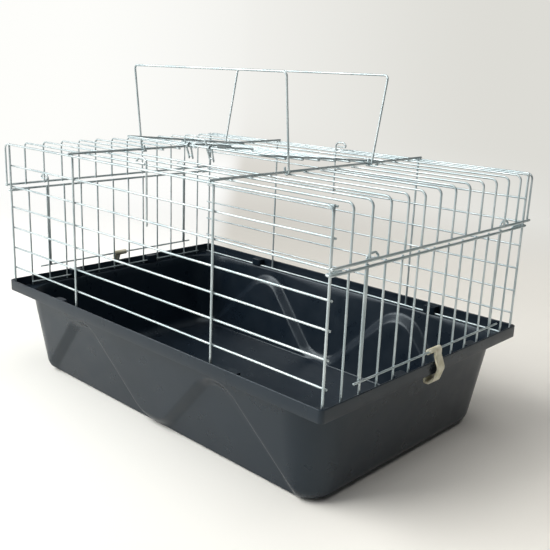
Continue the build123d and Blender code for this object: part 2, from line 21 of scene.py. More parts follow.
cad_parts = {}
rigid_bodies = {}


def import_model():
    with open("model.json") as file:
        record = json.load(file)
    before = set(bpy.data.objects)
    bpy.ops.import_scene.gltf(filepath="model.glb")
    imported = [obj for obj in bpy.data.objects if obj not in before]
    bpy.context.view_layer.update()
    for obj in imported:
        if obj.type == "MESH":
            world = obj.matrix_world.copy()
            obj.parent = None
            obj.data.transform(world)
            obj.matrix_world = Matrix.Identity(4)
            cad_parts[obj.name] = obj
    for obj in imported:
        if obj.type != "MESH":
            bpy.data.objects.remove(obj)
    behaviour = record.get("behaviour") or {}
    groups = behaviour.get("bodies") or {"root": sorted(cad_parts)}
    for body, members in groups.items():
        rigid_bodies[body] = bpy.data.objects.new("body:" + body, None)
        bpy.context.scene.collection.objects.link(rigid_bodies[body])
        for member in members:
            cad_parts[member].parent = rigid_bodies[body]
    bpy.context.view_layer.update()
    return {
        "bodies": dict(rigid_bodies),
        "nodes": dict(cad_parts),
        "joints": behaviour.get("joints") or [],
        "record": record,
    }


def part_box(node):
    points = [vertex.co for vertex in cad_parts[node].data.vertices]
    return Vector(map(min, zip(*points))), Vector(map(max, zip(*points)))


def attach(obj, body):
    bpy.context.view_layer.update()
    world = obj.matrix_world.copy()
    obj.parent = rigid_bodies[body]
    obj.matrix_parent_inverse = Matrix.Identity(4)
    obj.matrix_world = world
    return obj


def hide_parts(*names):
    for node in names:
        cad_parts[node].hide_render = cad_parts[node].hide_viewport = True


LOG = logging.getLogger("cage")
MM = 0.001
THIN_WIRE = 2.4 * MM
UPRIGHT_WIRE = 2.8 * MM
RAIL_WIRE = 3.0 * MM
BAIL_WIRE = 2.6 * MM
END_BARS = 12
WIRE_CREASE = math.radians(50)
MOULD_CREASE = math.radians(40)
SOFT_EDGE_STEPS = 3
# First and last result of a slide that falls.
FALL = (1.0, 0.0)

Path = list[Vector]
Point = tuple[float, float, float]
Tone = tuple[int, int, int]
Span = tuple[float, float]
Socket = bpy.types.NodeSocket


class Place(Enum):
    """Part of the cage that comes twice, with the sign of its coordinate."""

    def node(self, name: str) -> str:
        """Name of a node there."""
        return f"{self.name.lower()}_{name}"


class Side(Place):
    """Long side of the cage, with the sign of its Y."""

    FRONT = -1
    REAR = 1


class End(Place):
    """Short end of the cage, with the sign of its X."""

    LEFT = -1
    RIGHT = 1


class Axis(Enum):
    """Axis of the frame, with its place in a vector."""

    X = 0
    Y = 1
    Z = 2


def linear(tone: Tone) -> tuple[float, float, float, float]:
    """Turn a screen colour into the shader's linear colour.

    Args:
        tone: red, green and blue from 0 to 255.

    Returns:
        Linear red, green and blue with an alpha of 1.
    """

    def channel(value: int) -> float:
        """One channel through the screen's standard curve."""
        share = value / 255
        return share / 12.92 if share <= 0.04045 else ((share + 0.055) / 1.055) ** 2.4

    return (*(channel(value) for value in tone), 1.0)


class NodeBuilder:
    """Adds and links nodes in one node tree."""

    def __init__(self, tree: bpy.types.NodeTree) -> None:
        """Keep the tree that nodes are added to."""
        self.tree = tree

    def feed(self, node: bpy.types.Node, inputs: dict) -> None:
        """Set or link a node's inputs.

        Args:
            node: the node.
            inputs: a value or an output socket for each input, by its name or number.
        """
        for key, value in inputs.items():
            if isinstance(value, Socket):
                self.tree.links.new(value, node.inputs[key])
            else:
                node.inputs[key].default_value = value

    def add(self, kind: str, inputs: dict | None = None, **settings: object) -> bpy.types.Node:
        """Add one node.

        Args:
            kind: Blender's type name of the node.
            inputs: a value or an output socket for each input, by its name or number.
            settings: properties of the node.

        Returns:
            The new node.
        """
        node = self.tree.nodes.new(kind)
        for name, value in settings.items():
            setattr(node, name, value)
        self.feed(node, inputs or {})
        return node

    def group(self, tree: bpy.types.NodeTree, inputs: dict) -> Socket:
        """Add a shared effect.

        Args:
            tree: the effect's node group.
            inputs: the values that differ from the group's own.

        Returns:
            The group's one output.
        """
        return self.add("ShaderNodeGroup", inputs, node_tree=tree).outputs[0]

    def noise(self, place: Socket, scale: Socket, detail: float) -> Socket:
        """Add a soft noise.

        Args:
            place: coordinates that it reads.
            scale: how fine it is.
            detail: layers of finer noise in it.

        Returns:
            The noise from 0 to 1.
        """
        return self.add("ShaderNodeTexNoise", {"Vector": place, "Scale": scale, "Detail": detail}).outputs[0]

    def blend(self, share: Socket, first: Tone | Socket, second: Tone | Socket) -> Socket:
        """Blend two colours.

        Args:
            share: how much of the second colour shows.
            first: screen colour or output socket.
            second: screen colour or output socket.

        Returns:
            The blended colour.
        """
        colours = [end if isinstance(end, Socket) else linear(end) for end in (first, second)]
        # A Mix node takes its colours at inputs 6 and 7 and gives one at output 2.
        inputs = {0: share, 6: colours[0], 7: colours[1]}
        return self.add("ShaderNodeMix", inputs, data_type="RGBA").outputs[2]

    def slide(
        self, value: Socket, span: Span, first: float | Socket = 0.0, last: float | Socket = 1.0
    ) -> Socket:
        """Ease from one value to another over a span.

        Args:
            value: what slides.
            span: where it starts and ends.
            first: the result before the span.
            last: the result after it.

        Returns:
            The eased value.
        """
        limits = {"Value": value, "From Min": span[0], "From Max": span[1], "To Min": first, "To Max": last}
        return self.add("ShaderNodeMapRange", limits, interpolation_type="SMOOTHSTEP").outputs[0]

    def join(self, operation: str, *values: float | Socket) -> Socket:
        """Join values by one operation of maths.

        Args:
            operation: the operation's name.
            values: two values or more.

        Returns:
            The joined value.
        """
        result = values[0]
        for value in values[1:]:
            result = self.add("ShaderNodeMath", {0: result, 1: value}, operation=operation).outputs[0]
        return result

    def along(self, place: Socket, way: Vector) -> Socket:
        """Distance of a place along a direction."""
        return self.add("ShaderNodeVectorMath", {0: place, 1: way}, operation="DOT_PRODUCT").outputs["Value"]

    def bump(self, height: Socket, strength: float, distance: float) -> Socket:
        """Turn a height into bumps of the surface."""
        inputs = {"Strength": strength, "Distance": distance, "Height": height}
        return self.add("ShaderNodeBump", inputs).outputs[0]


def new_group(
    name: str, kind: str, sockets: dict[str, tuple[str, object]], output: tuple[str, str]
) -> NodeBuilder:
    """Start a node group with named sockets.

    Args:
        name: name of the group.
        kind: type of the tree.
        sockets: socket type and default value of each input.
        output: name and socket type of the output.

    Returns:
        A builder for the empty group.
    """
    tree = bpy.data.node_groups.new(name, kind)
    for label, (socket_type, value) in sockets.items():
        socket = tree.interface.new_socket(label, in_out="INPUT", socket_type=socket_type)
        if value is not None:
            socket.default_value = value
    tree.interface.new_socket(output[0], in_out="OUTPUT", socket_type=output[1])
    return NodeBuilder(tree)


def new_material(name: str) -> tuple[bpy.types.Material, NodeBuilder, bpy.types.Node]:
    """Make a material with a plain Principled shader.

    Args:
        name: name of the material.

    Returns:
        The material, a builder for its nodes and its shader.
    """
    material = bpy.data.materials.new(name)
    material.use_nodes = True
    return material, NodeBuilder(material.node_tree), material.node_tree.nodes["Principled BSDF"]


class SurfaceEffects:
    """Shader node groups that the finishes share."""

    patch_detail: float = 4.0
    patch_span: Span = (0.32, 0.68)
    grain_detail: float = 2.0
    coarse_scale: float = 0.05
    dust_detail: float = 6.0
    dust_span: Span = (0.2, 0.95)

    def __init__(self) -> None:
        """Build each group once."""
        self.patches = self._patches()
        self.grain = self._grain()
        self.dust = self._dust()

    @staticmethod
    def _start(
        name: str, numbers: dict[str, float], output: str
    ) -> tuple[NodeBuilder, bpy.types.NodeOutputs, Socket]:
        """Start a group of numbers.

        Args:
            name: name of the group.
            numbers: default value of each input.
            output: name of the output.

        Returns:
            A builder for the group, the group's inputs and the surface's own coordinates.
        """
        number = "NodeSocketFloat"
        sockets = {label: (number, value) for label, value in numbers.items()}
        build = new_group(name, "ShaderNodeTree", sockets, (output, number))
        given = build.add("NodeGroupInput").outputs
        return build, given, build.add("ShaderNodeTexCoord").outputs["Object"]

    def _patches(self) -> bpy.types.NodeTree:
        """Soft uneven patches between two values.

        Returns:
            A group with the output Amount.
        """
        build, given, place = self._start("Patches", {"Scale": 20.0, "Low": 0.0, "High": 1.0}, "Amount")
        noise = build.noise(place, given["Scale"], self.patch_detail)
        amount = build.slide(noise, self.patch_span, given["Low"], given["High"])
        build.add("NodeGroupOutput", {"Amount": amount})
        return build.tree

    def _grain(self) -> bpy.types.NodeTree:
        """Fine moulded or drawn grain.

        Returns:
            A group with the output Height.
        """
        build, given, place = self._start("Grain", {"Scale": 2000.0, "Coarse Share": 0.3}, "Height")
        fine = build.noise(place, given["Scale"], self.grain_detail)
        wide = build.join("MULTIPLY", given["Scale"], self.coarse_scale)
        coarse = build.noise(place, wide, self.grain_detail)
        mixed = build.add("ShaderNodeMix", {0: given["Coarse Share"], 2: fine, 3: coarse})
        build.add("NodeGroupOutput", {"Height": mixed.outputs[0]})
        return build.tree

    def _dust(self) -> bpy.types.NodeTree:
        """Thin dust that lies on faces turned upwards.

        Returns:
            A group with the output Mask.
        """
        build, given, place = self._start("Dust", {"Scale": 60.0, "Amount": 0.1}, "Mask")
        noise = build.noise(place, given["Scale"], self.dust_detail)
        facing = build.add("ShaderNodeSeparateXYZ", {0: build.add("ShaderNodeNewGeometry").outputs["Normal"]})
        first, last = self.dust_span
        limits = {"Value": facing.outputs["Z"], "From Min": first, "From Max": last}
        upward = build.add("ShaderNodeMapRange", limits).outputs[0]
        build.add("NodeGroupOutput", {"Mask": build.join("MULTIPLY", noise, upward, given["Amount"])})
        return build.tree


@dataclass(frozen=True)
class Finish:
    """Material of one Principled shader whose colour and gloss vary in soft patches."""

    name: str
    tone: Tone
    patch_tone: Tone
    patch_scale: float
    rough: Span
    rough_scale: float

    def details(self, build: NodeBuilder, effects: SurfaceEffects, colour: Socket) -> dict[str, object]:
        """Shader inputs that a finish adds to the patches, or puts in their place.

        Args:
            build: builder for the material's nodes.
            effects: the shared node groups.
            colour: the patchy colour.

        Returns:
            A value or an output socket for each input.
        """
        return {"Base Color": colour}

    def build(self, effects: SurfaceEffects) -> bpy.types.Material:
        """Make the material.

        Args:
            effects: the shared node groups.

        Returns:
            The material.
        """
        material, build, shader = new_material(self.name)
        share = build.group(effects.patches, {"Scale": self.patch_scale})
        colour = build.blend(share, self.tone, self.patch_tone)
        low, high = self.rough
        rough = build.group(effects.patches, {"Scale": self.rough_scale, "Low": low, "High": high})
        build.feed(shader, {"Roughness": rough, **self.details(build, effects, colour)})
        return material


@dataclass(frozen=True)
class ZincFinish(Finish):
    """Bright zinc plating on drawn steel wire."""

    name: str = "zinc_wire"
    tone: Tone = (198, 208, 210)
    patch_tone: Tone = (166, 181, 185)
    patch_scale: float = 24.0
    rough: Span = (0.28, 0.38)
    rough_scale: float = 55.2
    metal: float = 0.5
    grain_scale: float = 1400.0
    grain_share: float = 0.02
    grain_depth: float = 0.1 * MM

    def details(self, build: NodeBuilder, effects: SurfaceEffects, colour: Socket) -> dict[str, object]:
        """Add the drawn grain and the shine of metal.

        Args:
            build: builder for the material's nodes.
            effects: the shared node groups.
            colour: the patchy colour.

        Returns:
            A value or an output socket for each input.
        """
        grain = build.group(effects.grain, {"Scale": self.grain_scale})
        bumps = build.bump(grain, self.grain_share, self.grain_depth)
        return {"Base Color": colour, "Normal": bumps, "Metallic": self.metal}


@dataclass(frozen=True)
class TrayFinish(Finish):
    """Dark slate moulded plastic with a satin face."""

    name: str = "tray_plastic"
    tone: Tone = (17, 27, 37)
    patch_tone: Tone = (23, 33, 43)
    patch_scale: float = 9.0
    rough: Span = (0.27, 0.36)
    rough_scale: float = 36.0
    dust: Tone = (130, 132, 132)
    dust_amount: float = 0.02
    grain_scale: float = 420.0
    grain_share: float = 0.01
    grain_depth: float = 0.15 * MM
    shine: float = 0.43
    shine_tone: Tone = (236, 248, 255)

    def details(self, build: NodeBuilder, effects: SurfaceEffects, colour: Socket) -> dict[str, object]:
        """Add thin dust, the moulded grain and a cool sheen.

        Args:
            build: builder for the material's nodes.
            effects: the shared node groups.
            colour: the patchy colour.

        Returns:
            A value or an output socket for each input.
        """
        film = build.group(effects.dust, {"Amount": self.dust_amount})
        grain = build.group(effects.grain, {"Scale": self.grain_scale})
        return {
            "Base Color": build.blend(film, colour, self.dust),
            "Normal": build.bump(grain, self.grain_share, self.grain_depth),
            "Specular IOR Level": self.shine,
            "Specular Tint": linear(self.shine_tone),
        }


@dataclass(frozen=True)
class ClipFinish(Finish):
    """Cream moulded plastic that lets a little light through."""

    name: str = "clip_plastic"
    tone: Tone = (226, 222, 202)
    patch_tone: Tone = (206, 200, 174)
    patch_scale: float = 160.0
    rough: Span = (0.28, 0.42)
    rough_scale: float = 480.0
    dirt: Tone = (140, 130, 104)
    dirt_scale: float = 640.0
    dirt_amount: float = 0.25
    glow: float = 0.15
    glow_depth: Point = (2 * MM, 1.6 * MM, 1 * MM)

    def details(self, build: NodeBuilder, effects: SurfaceEffects, colour: Socket) -> dict[str, object]:
        """Add the dirt of handling and the light that comes through.

        Args:
            build: builder for the material's nodes.
            effects: the shared node groups.
            colour: the patchy colour.

        Returns:
            A value or an output socket for each input.
        """
        film = build.group(effects.dust, {"Scale": self.dirt_scale, "Amount": self.dirt_amount})
        return {
            "Base Color": build.blend(film, colour, self.dirt),
            "Subsurface Weight": self.glow,
            "Subsurface Radius": self.glow_depth,
        }


@dataclass(frozen=True)
class StageFinish:
    """Pale paper of the floor and the backdrop, with painted light that is brightest on the left and dims to
    a warm tone on the right.

    Near the cage it is lit paper that takes the shadow, turned warmer towards the right as a painted
    warm shade. Farther off it turns to a paper that shows a set colour, so that the lamps don't change
    the background; that colour is painted light that falls off from the left to the right. Both carry
    a painted shade patch and a painted light patch behind the cage.
    """

    name: str = "stage_paper"
    paper: Tone = (241, 241, 237)
    # shaded_paper is a painted warm shade that the lit paper turns to towards the right, over the lamps' own
    # shadow.
    shaded_paper: Tone = (246, 243, 236)
    paper_span: Span = (-0.20, 0.35)
    # The far paper's bright and dim tones are painted light: light from the left that falls off towards the
    # right.
    bright: Tone = (254, 254, 251)
    dim: Tone = (221, 220, 214)
    dim_span: Span = (-1.3, 1.6)
    far_span: Span = (0.8, 1.7)
    # Patches behind the cage: a painted shade to the right of an edge and a painted light to its left, on the
    # lit paper and on the far paper.
    shade: Tone = (218, 215, 208)
    painted_light: Tone = (254, 254, 252)
    edge_span: Span = (-0.16, -0.05)
    fade_span: Span = (0.0, 0.8)
    behind_span: Span = (0.2, 0.6)
    shade_end: Span = (2.2, 4.4)
    painted_light_end: Span = (2.2, 3.2)
    roughness: float = 0.9
    gloss: float = 0.1

    def _colours(self, build: NodeBuilder, place: Socket, across: Vector) -> list[Socket]:
        """Colours of the lit paper and of the far paper.

        Args:
            build: builder for the material's nodes.
            place: coordinates on the stage.
            across: direction from the stage's bright side to its dim side.

        Returns:
            Both colours, each with a painted shade patch and a painted light patch behind the cage.
        """
        aside = build.along(place, across)
        behind = build.along(place, Vector((-across.y, across.x, 0)))
        start = build.slide(behind, self.behind_span)
        # Share of the painted shade behind the cage, right of the edge.
        painted_shade_share = (
            build.slide(aside, self.edge_span),
            build.slide(aside, self.fade_span, *FALL),
            build.slide(behind, self.shade_end, *FALL),
        )
        # Share of the painted light behind the cage, left of the edge.
        painted_light = (build.slide(aside, self.edge_span, *FALL), build.slide(behind, self.painted_light_end, *FALL))
        patches = (
            (build.join("MULTIPLY", start, *painted_shade_share), self.shade),
            (build.join("MULTIPLY", start, *painted_light), self.painted_light),
        )
        colours = []
        # The lit paper warms towards the right as a painted warm shade; the far paper dims towards the right
        # as painted light falling off.
        for span, first, second in (
            (self.paper_span, self.paper, self.shaded_paper),
            (self.dim_span, self.bright, self.dim),
        ):
            colour = build.blend(build.slide(aside, span), first, second)
            # Then the painted shade and the painted light patches go over the colour.
            for share, tone in patches:
                colour = build.blend(share, colour, tone)
            colours.append(colour)
        return colours

    def build(self, across: Vector) -> bpy.types.Material:
        """Make the stage's material.

        Args:
            across: direction from the stage's bright side to its dim side.

        Returns:
            The material.
        """
        material, build, shader = new_material(self.name)
        place = build.add("ShaderNodeTexCoord").outputs["Object"]
        lit, far = self._colours(build, place, across)
        reach = build.add("ShaderNodeVectorMath", {0: place}, operation="LENGTH").outputs["Value"]
        ray = build.add("ShaderNodeLightPath").outputs
        kinds = (ray["Is Camera Ray"], ray["Is Glossy Ray"], ray["Is Transmission Ray"])
        share = build.join("MULTIPLY", build.slide(reach, self.far_span), build.join("MAXIMUM", *kinds))
        glow = build.add("ShaderNodeEmission", {"Color": far, "Strength": 1.0})
        build.feed(shader, {"Base Color": lit, "Roughness": self.roughness, "Specular IOR Level": self.gloss})
        both = build.add("ShaderNodeMixShader", {0: share, 1: shader.outputs[0], 2: glow.outputs[0]})
        build.feed(build.tree.nodes["Material Output"], {"Surface": both.outputs[0]})
        return material


@dataclass(frozen=True)
class NodeBox:
    """Box of one CAD node at rest."""

    low: Vector
    high: Vector

    @classmethod
    def of(cls, node: str) -> NodeBox:
        """Read a node's box from the frame."""
        return cls(*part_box(node))

    def middle(self) -> Vector:
        """Centre of the box."""
        return (self.low + self.high) / 2

    def places(self, axis: Axis, count: int, diameter: float) -> list[float]:
        """Centres of evenly spaced wires that fill the box along an axis.

        Args:
            axis: the axis that the wires are spread along.
            count: how many wires there are.
            diameter: thickness of the wire.

        Returns:
            The wires' coordinates along the axis.
        """
        if count == 1:
            return [self.middle()[axis.value]]
        first = self.low[axis.value] + diameter / 2
        last = self.high[axis.value] - diameter / 2
        return [float(place) for place in np.linspace(first, last, count)]

    def wires(self, along: Axis, across: Axis, count: int, diameter: float) -> list[Path]:
        """Centre lines of straight wires that fill the box.

        Args:
            along: the axis that the wires run along.
            across: the axis that they are spread along.
            count: how many wires there are.
            diameter: thickness of the wire.

        Returns:
            The two ends of each wire.
        """
        lines = []
        for place in self.places(across, count, diameter):
            line = [self.middle(), self.middle()]
            for end, corner in zip(line, (self.low, self.high)):
                end[across.value] = place
                end[along.value] = corner[along.value]
            lines.append(line)
        return lines


def bent(corners: Path, radii: Iterable[float], steps: int = 8) -> Path:
    """Round the inner corners of a polyline.

    Args:
        corners: the polyline.
        radii: bend radius at each inner corner.
        steps: segments in each bend.

    Returns:
        The points of the rounded line.
    """
    points = [corners[0].copy()]
    for before, corner, after, radius in zip(corners, corners[1:], corners[2:], radii):
        back = (before - corner).normalized()
        ahead = (after - corner).normalized()
        half = back.angle(ahead) / 2
        centre = corner + (back + ahead).normalized() * (radius / math.sin(half))
        start = corner + back * (radius / math.tan(half))
        end = corner + ahead * (radius / math.tan(half))
        spin = (start - centre).cross(end - centre).normalized()
        points += curl(centre, start, spin, math.pi - 2 * half, steps)
    return points + [corners[-1].copy()]


def curl(centre: Vector, start: Vector, spin: Vector, turn: float, steps: int = 16) -> Path:
    """Points of an arc.

    Args:
        centre: middle of the arc.
        start: first point.
        spin: axis that the arc turns about.
        turn: angle in radians.
        steps: segments in the arc.

    Returns:
        The points from the start to the end of the arc.
    """
    arm = start - centre
    return [centre + Matrix.Rotation(turn * i / steps, 3, spin) @ arm for i in range(steps + 1)]


def skin(shape: bmesh.types.BMesh, rings: Iterable[Iterable[Vector | np.ndarray]]) -> None:
    """Add a closed shell over rings of points, with the first and last ring filled.

    Args:
        shape: mesh that is being built.
        rings: rings with equally many points.
    """
    rows = [[shape.verts.new(point) for point in ring] for ring in rings]
    shape.faces.new(rows[0])
    shape.faces.new(rows[-1])
    for near, far in zip(rows, rows[1:]):
        for i in range(len(near)):
            j = (i + 1) % len(near)
            shape.faces.new((near[i], near[j], far[j], far[i]))


def smooth_mesh(
    shape: bmesh.types.BMesh, name: str, finish: bpy.types.Material, crease: float = MOULD_CREASE
) -> bpy.types.Mesh:
    """Close the building of a mesh.

    Args:
        shape: mesh that was built.
        name: name of the mesh.
        finish: its material.
        crease: angle past which an edge stays sharp.

    Returns:
        The mesh, with smooth faces turned outwards.
    """
    bmesh.ops.recalc_face_normals(shape, faces=shape.faces)
    mesh = bpy.data.meshes.new(name)
    shape.to_mesh(mesh)
    shape.free()
    mesh.materials.append(finish)
    mesh.polygons.foreach_set("use_smooth", [True] * len(mesh.polygons))
    mesh.set_sharp_from_angle(angle=crease)
    return mesh


def stand(mesh: bpy.types.Mesh) -> bpy.types.Object:
    """Put a mesh in the scene.

    Args:
        mesh: the mesh, in place.

    Returns:
        An object of the same name, at the origin.
    """
    piece = bpy.data.objects.new(mesh.name, mesh)
    bpy.context.scene.collection.objects.link(piece)
    return piece


def soften(piece: bpy.types.Object, width: float) -> None:
    """Round the edges of a moulded piece.

    Args:
        piece: the piece.
        width: size of the rounding.
    """
    bevel = piece.modifiers.new("soft edges", "BEVEL")
    bevel.width = width
    bevel.segments = SOFT_EDGE_STEPS
    bevel.limit_method = "ANGLE"
    bevel.angle_limit = MOULD_CREASE


class NodeTool:
    """A geometry-node tree that makes pieces from a simple host mesh."""

    def __init__(self, tree: bpy.types.NodeTree) -> None:
        """Keep the tree and the identifiers of its inputs."""
        self.tree = tree
        self.sockets = {i.name: i.identifier for i in tree.interface.items_tree if i.in_out == "INPUT"}

    def run(self, name: str, mesh: bpy.types.Mesh, **values: object) -> bpy.types.Object:
        """Make one piece.

        Args:
            name: name of the piece.
            mesh: host mesh with the points or lines that the tree reads.
            values: the tree's inputs.

        Returns:
            The finished piece, a plain mesh.
        """
        host = stand(mesh)
        modifier = host.modifiers.new("shape", "NODES")
        modifier.node_group = self.tree
        for label, value in values.items():
            modifier[self.sockets[label]] = value
        bpy.context.view_layer.update()
        shape = host.evaluated_get(bpy.context.evaluated_depsgraph_get())
        plain = bpy.data.meshes.new_from_object(shape)
        plain.name = name
        plain.set_sharp_from_angle(angle=WIRE_CREASE)
        bpy.data.objects.remove(host)
        return stand(plain)


class WireDrawer:
    """Draws round plated wire along centre lines, with a bead of weld where wires cross."""

    sides: int = 12
    stretch: float = 18 * MM
    waver_scale: float = 9.0
    cut_rounding: tuple[Span, ...] = ((0.0, 0.72), (0.12, 0.90), (0.32, 1.0))
    bead_radius: float = 1.25 * MM
    bead_sizes: Span = (0.85, 1.15)
    bead_cuts: int = 2
    bead_seed: int = 7

    def __init__(self, zinc: bpy.types.Material) -> None:
        """Keep the finish and build both trees.

        Args:
            zinc: finish of the wire and of its welds.
        """
        self.zinc = zinc
        self.wire = NodeTool(self._wire_tree())
        self.bead = NodeTool(self._bead_tree())

    @staticmethod
    def _close(build: NodeBuilder, shape: Socket, finish: Socket) -> bpy.types.NodeTree:
        """End a tree with smooth faces, real meshes and their finish.

        Args:
            build: builder for the tree's nodes.
            shape: the geometry.
            finish: the material.

        Returns:
            The finished tree.
        """
        smooth = build.add("GeometryNodeSetShadeSmooth", {"Geometry": shape})
        whole = build.add("GeometryNodeRealizeInstances", {"Geometry": smooth.outputs[0]})
        dressed = build.add("GeometryNodeSetMaterial", {"Geometry": whole.outputs[0], "Material": finish})
        build.add("NodeGroupOutput", {0: dressed.outputs[0]})
        return build.tree

    def _wire_tree(self) -> bpy.types.NodeTree:
        """Sweep a circle along each line, with a slight waver.

        Returns:
            The geometry-node tree.
        """
        sockets = {
            "Lines": ("NodeSocketGeometry", None),
            "Radius": ("NodeSocketFloat", THIN_WIRE / 2),
            "Sides": ("NodeSocketInt", self.sides),
            "Waver": ("NodeSocketFloat", 0.0),
            "Finish": ("NodeSocketMaterial", None),
        }
        build = new_group("Drawn wire", "GeometryNodeTree", sockets, ("Wire", "NodeSocketGeometry"))
        given = build.add("NodeGroupInput").outputs
        lines = build.add("GeometryNodeMeshToCurve", {"Mesh": given["Lines"]})
        noise = build.add("ShaderNodeTexNoise", {"Scale": self.waver_scale, "Detail": 0.0})
        halves = {0: noise.outputs["Color"], 1: (0.5, 0.5, 0.5)}
        centred = build.add("ShaderNodeVectorMath", halves, operation="SUBTRACT")
        stray = {0: centred.outputs[0], "Scale": given["Waver"]}
        waver = build.add("ShaderNodeVectorMath", stray, operation="SCALE")
        shifted = {"Geometry": lines.outputs[0], "Offset": waver.outputs[0]}
        bowed = build.add("GeometryNodeSetPosition", shifted)
        circle = {"Resolution": given["Sides"], "Radius": given["Radius"]}
        profile = build.add("GeometryNodeCurvePrimitiveCircle", circle)
        girth = build.add("GeometryNodeInputNamedAttribute", {"Name": "girth"}, data_type="FLOAT")
        sweep = {"Curve": bowed.outputs[0], "Profile Curve": profile.outputs[0]}
        sweep |= {"Scale": girth.outputs[0], "Fill Caps": True}
        tube = build.add("GeometryNodeCurveToMesh", sweep)
        return self._close(build, tube.outputs[0], given["Finish"])

    def _bead_tree(self) -> bpy.types.NodeTree:
        """Set one small uneven bead on each point.

        Returns:
            The geometry-node tree.
        """
        smallest, largest = self.bead_sizes
        sockets = {
            "Points": ("NodeSocketGeometry", None),
            "Radius": ("NodeSocketFloat", self.bead_radius),
            "Smallest": ("NodeSocketFloat", smallest),
            "Largest": ("NodeSocketFloat", largest),
            "Seed": ("NodeSocketInt", self.bead_seed),
            "Finish": ("NodeSocketMaterial", None),
        }
        build = new_group("Weld beads", "GeometryNodeTree", sockets, ("Beads", "NodeSocketGeometry"))
        given = build.add("NodeGroupInput").outputs
        ball = {"Radius": given["Radius"], "Subdivisions": self.bead_cuts}
        bead = build.add("GeometryNodeMeshIcoSphere", ball)
        spread = {2: given["Smallest"], 3: given["Largest"], "Seed": given["Seed"]}
        size = build.add("FunctionNodeRandomValue", spread, data_type="FLOAT")
        copies = {"Points": given["Points"], "Instance": bead.outputs[0], "Scale": size.outputs[1]}
        beads = build.add("GeometryNodeInstanceOnPoints", copies)
        return self._close(build, beads.outputs[0], given["Finish"])

    def _cut_ends(self, run: Path, radius: float) -> tuple[Path, list[float]]:
        """Split long stretches and round off both cut ends.

        Args:
            run: centre line of one wire.
            radius: radius of the wire.

        Returns:
            The denser line and the share of the full girth at each point.
        """
        points: Path = [run[0]]
        for start, end in zip(run, run[1:]):
            count = max(1, math.ceil((end - start).length / self.stretch))
            points += [start.lerp(end, i / count) for i in range(1, count + 1)]

        def cut(tip: Vector, inner: Vector) -> Path:
            """Points of one cut end, from its tip inwards."""
            ahead = (inner - tip).normalized()
            return [tip + ahead * (share * radius) for share, _ in self.cut_rounding]

        shares = [share for _, share in self.cut_rounding]
        head = cut(points[0], points[1])
        tail = cut(points[-1], points[-2])[::-1]
        girths = shares + [1.0] * (len(points) - 2) + shares[::-1]
        return head + points[1:-1] + tail, girths

    def draw(self, node: str, body: str, runs: list[Path], diameter: float, waver: float = 0.0) -> None:
        """Replace one CAD node by drawn wire.

        Args:
            node: the CAD node that the wires stand for.
            body: the body that they ride on.
            runs: centre line of each wire.
            diameter: thickness of the wire.
            waver: how far a wire strays from its line.
        """
        points: Path = []
        girths: list[float] = []
        edges: list[tuple[int, int]] = []
        for run in runs:
            line, shares = self._cut_ends(run, diameter / 2)
            edges += [(len(points) + i, len(points) + i + 1) for i in range(len(line) - 1)]
            points += line
            girths += shares
        mesh = bpy.data.meshes.new(node + "_lines")
        mesh.from_pydata(points, edges, [])
        mesh.attributes.new("girth", "FLOAT", "POINT").data.foreach_set("value", girths)
        values = {"Radius": diameter / 2, "Waver": waver, "Finish": self.zinc}
        piece = self.wire.run(node + "_drawn", mesh, **values)
        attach(piece, body)
        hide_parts(node)
        LOG.info("%s: %d wires", piece.name, len(runs))

    def straight(
        self, node: str, along: Axis, across: Axis, count: int, diameter: float, waver: float = 0.0
    ) -> list[Path]:
        """Replace one node of straight wires on the cage's own body.

        Args:
            node: the CAD node that the wires stand for.
            along: the axis that the wires run along.
            across: the axis that they are spread along.
            count: how many wires there are.
            diameter: thickness of the wire.
            waver: how far a wire strays from its line.

        Returns:
            The two ends of each wire.
        """
        lines = NodeBox.of(node).wires(along, across, count, diameter)
        self.draw(node, "cage", lines, diameter, waver)
        return lines

    def weld(self, name: str, body: str, points: Path) -> None:
        """Add the weld beads of one body.

        Args:
            name: name of the piece.
            body: the body that the beads ride on.
            points: where two wires meet.
        """
        mesh = bpy.data.meshes.new(name + "_points")
        mesh.from_pydata(points, [], [])
        piece = self.bead.run(name, mesh, Finish=self.zinc)
        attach(piece, body)
        LOG.info("%s: %d beads", piece.name, len(points))


@dataclass
class EyeRod:
    """Rod whose end is bent to a D-shaped eye."""

    height: float = 6.2 * MM
    length: float = 19.0 * MM
    neck_rise: float = 2.8 * MM
    shoulder_reach: float = 5.0 * MM
    brow_reach: float = 13.7 * MM
    shoulder_round: float = 3.7 * MM
    brow_round: float = 4.6 * MM
    tip_round: float = 1.8 * MM
    end_gap: float = 0.6 * MM

    def path(self, foot: Vector, top: float, reach: Vector) -> Path:
        """Centre line of one rod.

        Args:
            foot: lower end of the rod.
            top: height of the eye's upper run.
            reach: direction in which the eye lies.

        Returns:
            The points of the rod from its foot to the end of its eye.
        """

        def at(along: float, rise: float) -> Vector:
            """A point of the eye, along its reach and over its lower run."""
            return Vector((foot.x, foot.y, top - self.height + rise)) + reach * along

        corners = [
            foot,
            at(0, self.neck_rise),
            at(self.shoulder_reach, self.height),
            at(self.brow_reach, self.height),
            at(self.length + self.tip_round, 0),
            at(THIN_WIRE + self.end_gap, 0),
        ]
        return bent(corners, [self.shoulder_round, self.shoulder_round, self.brow_round, self.tip_round])


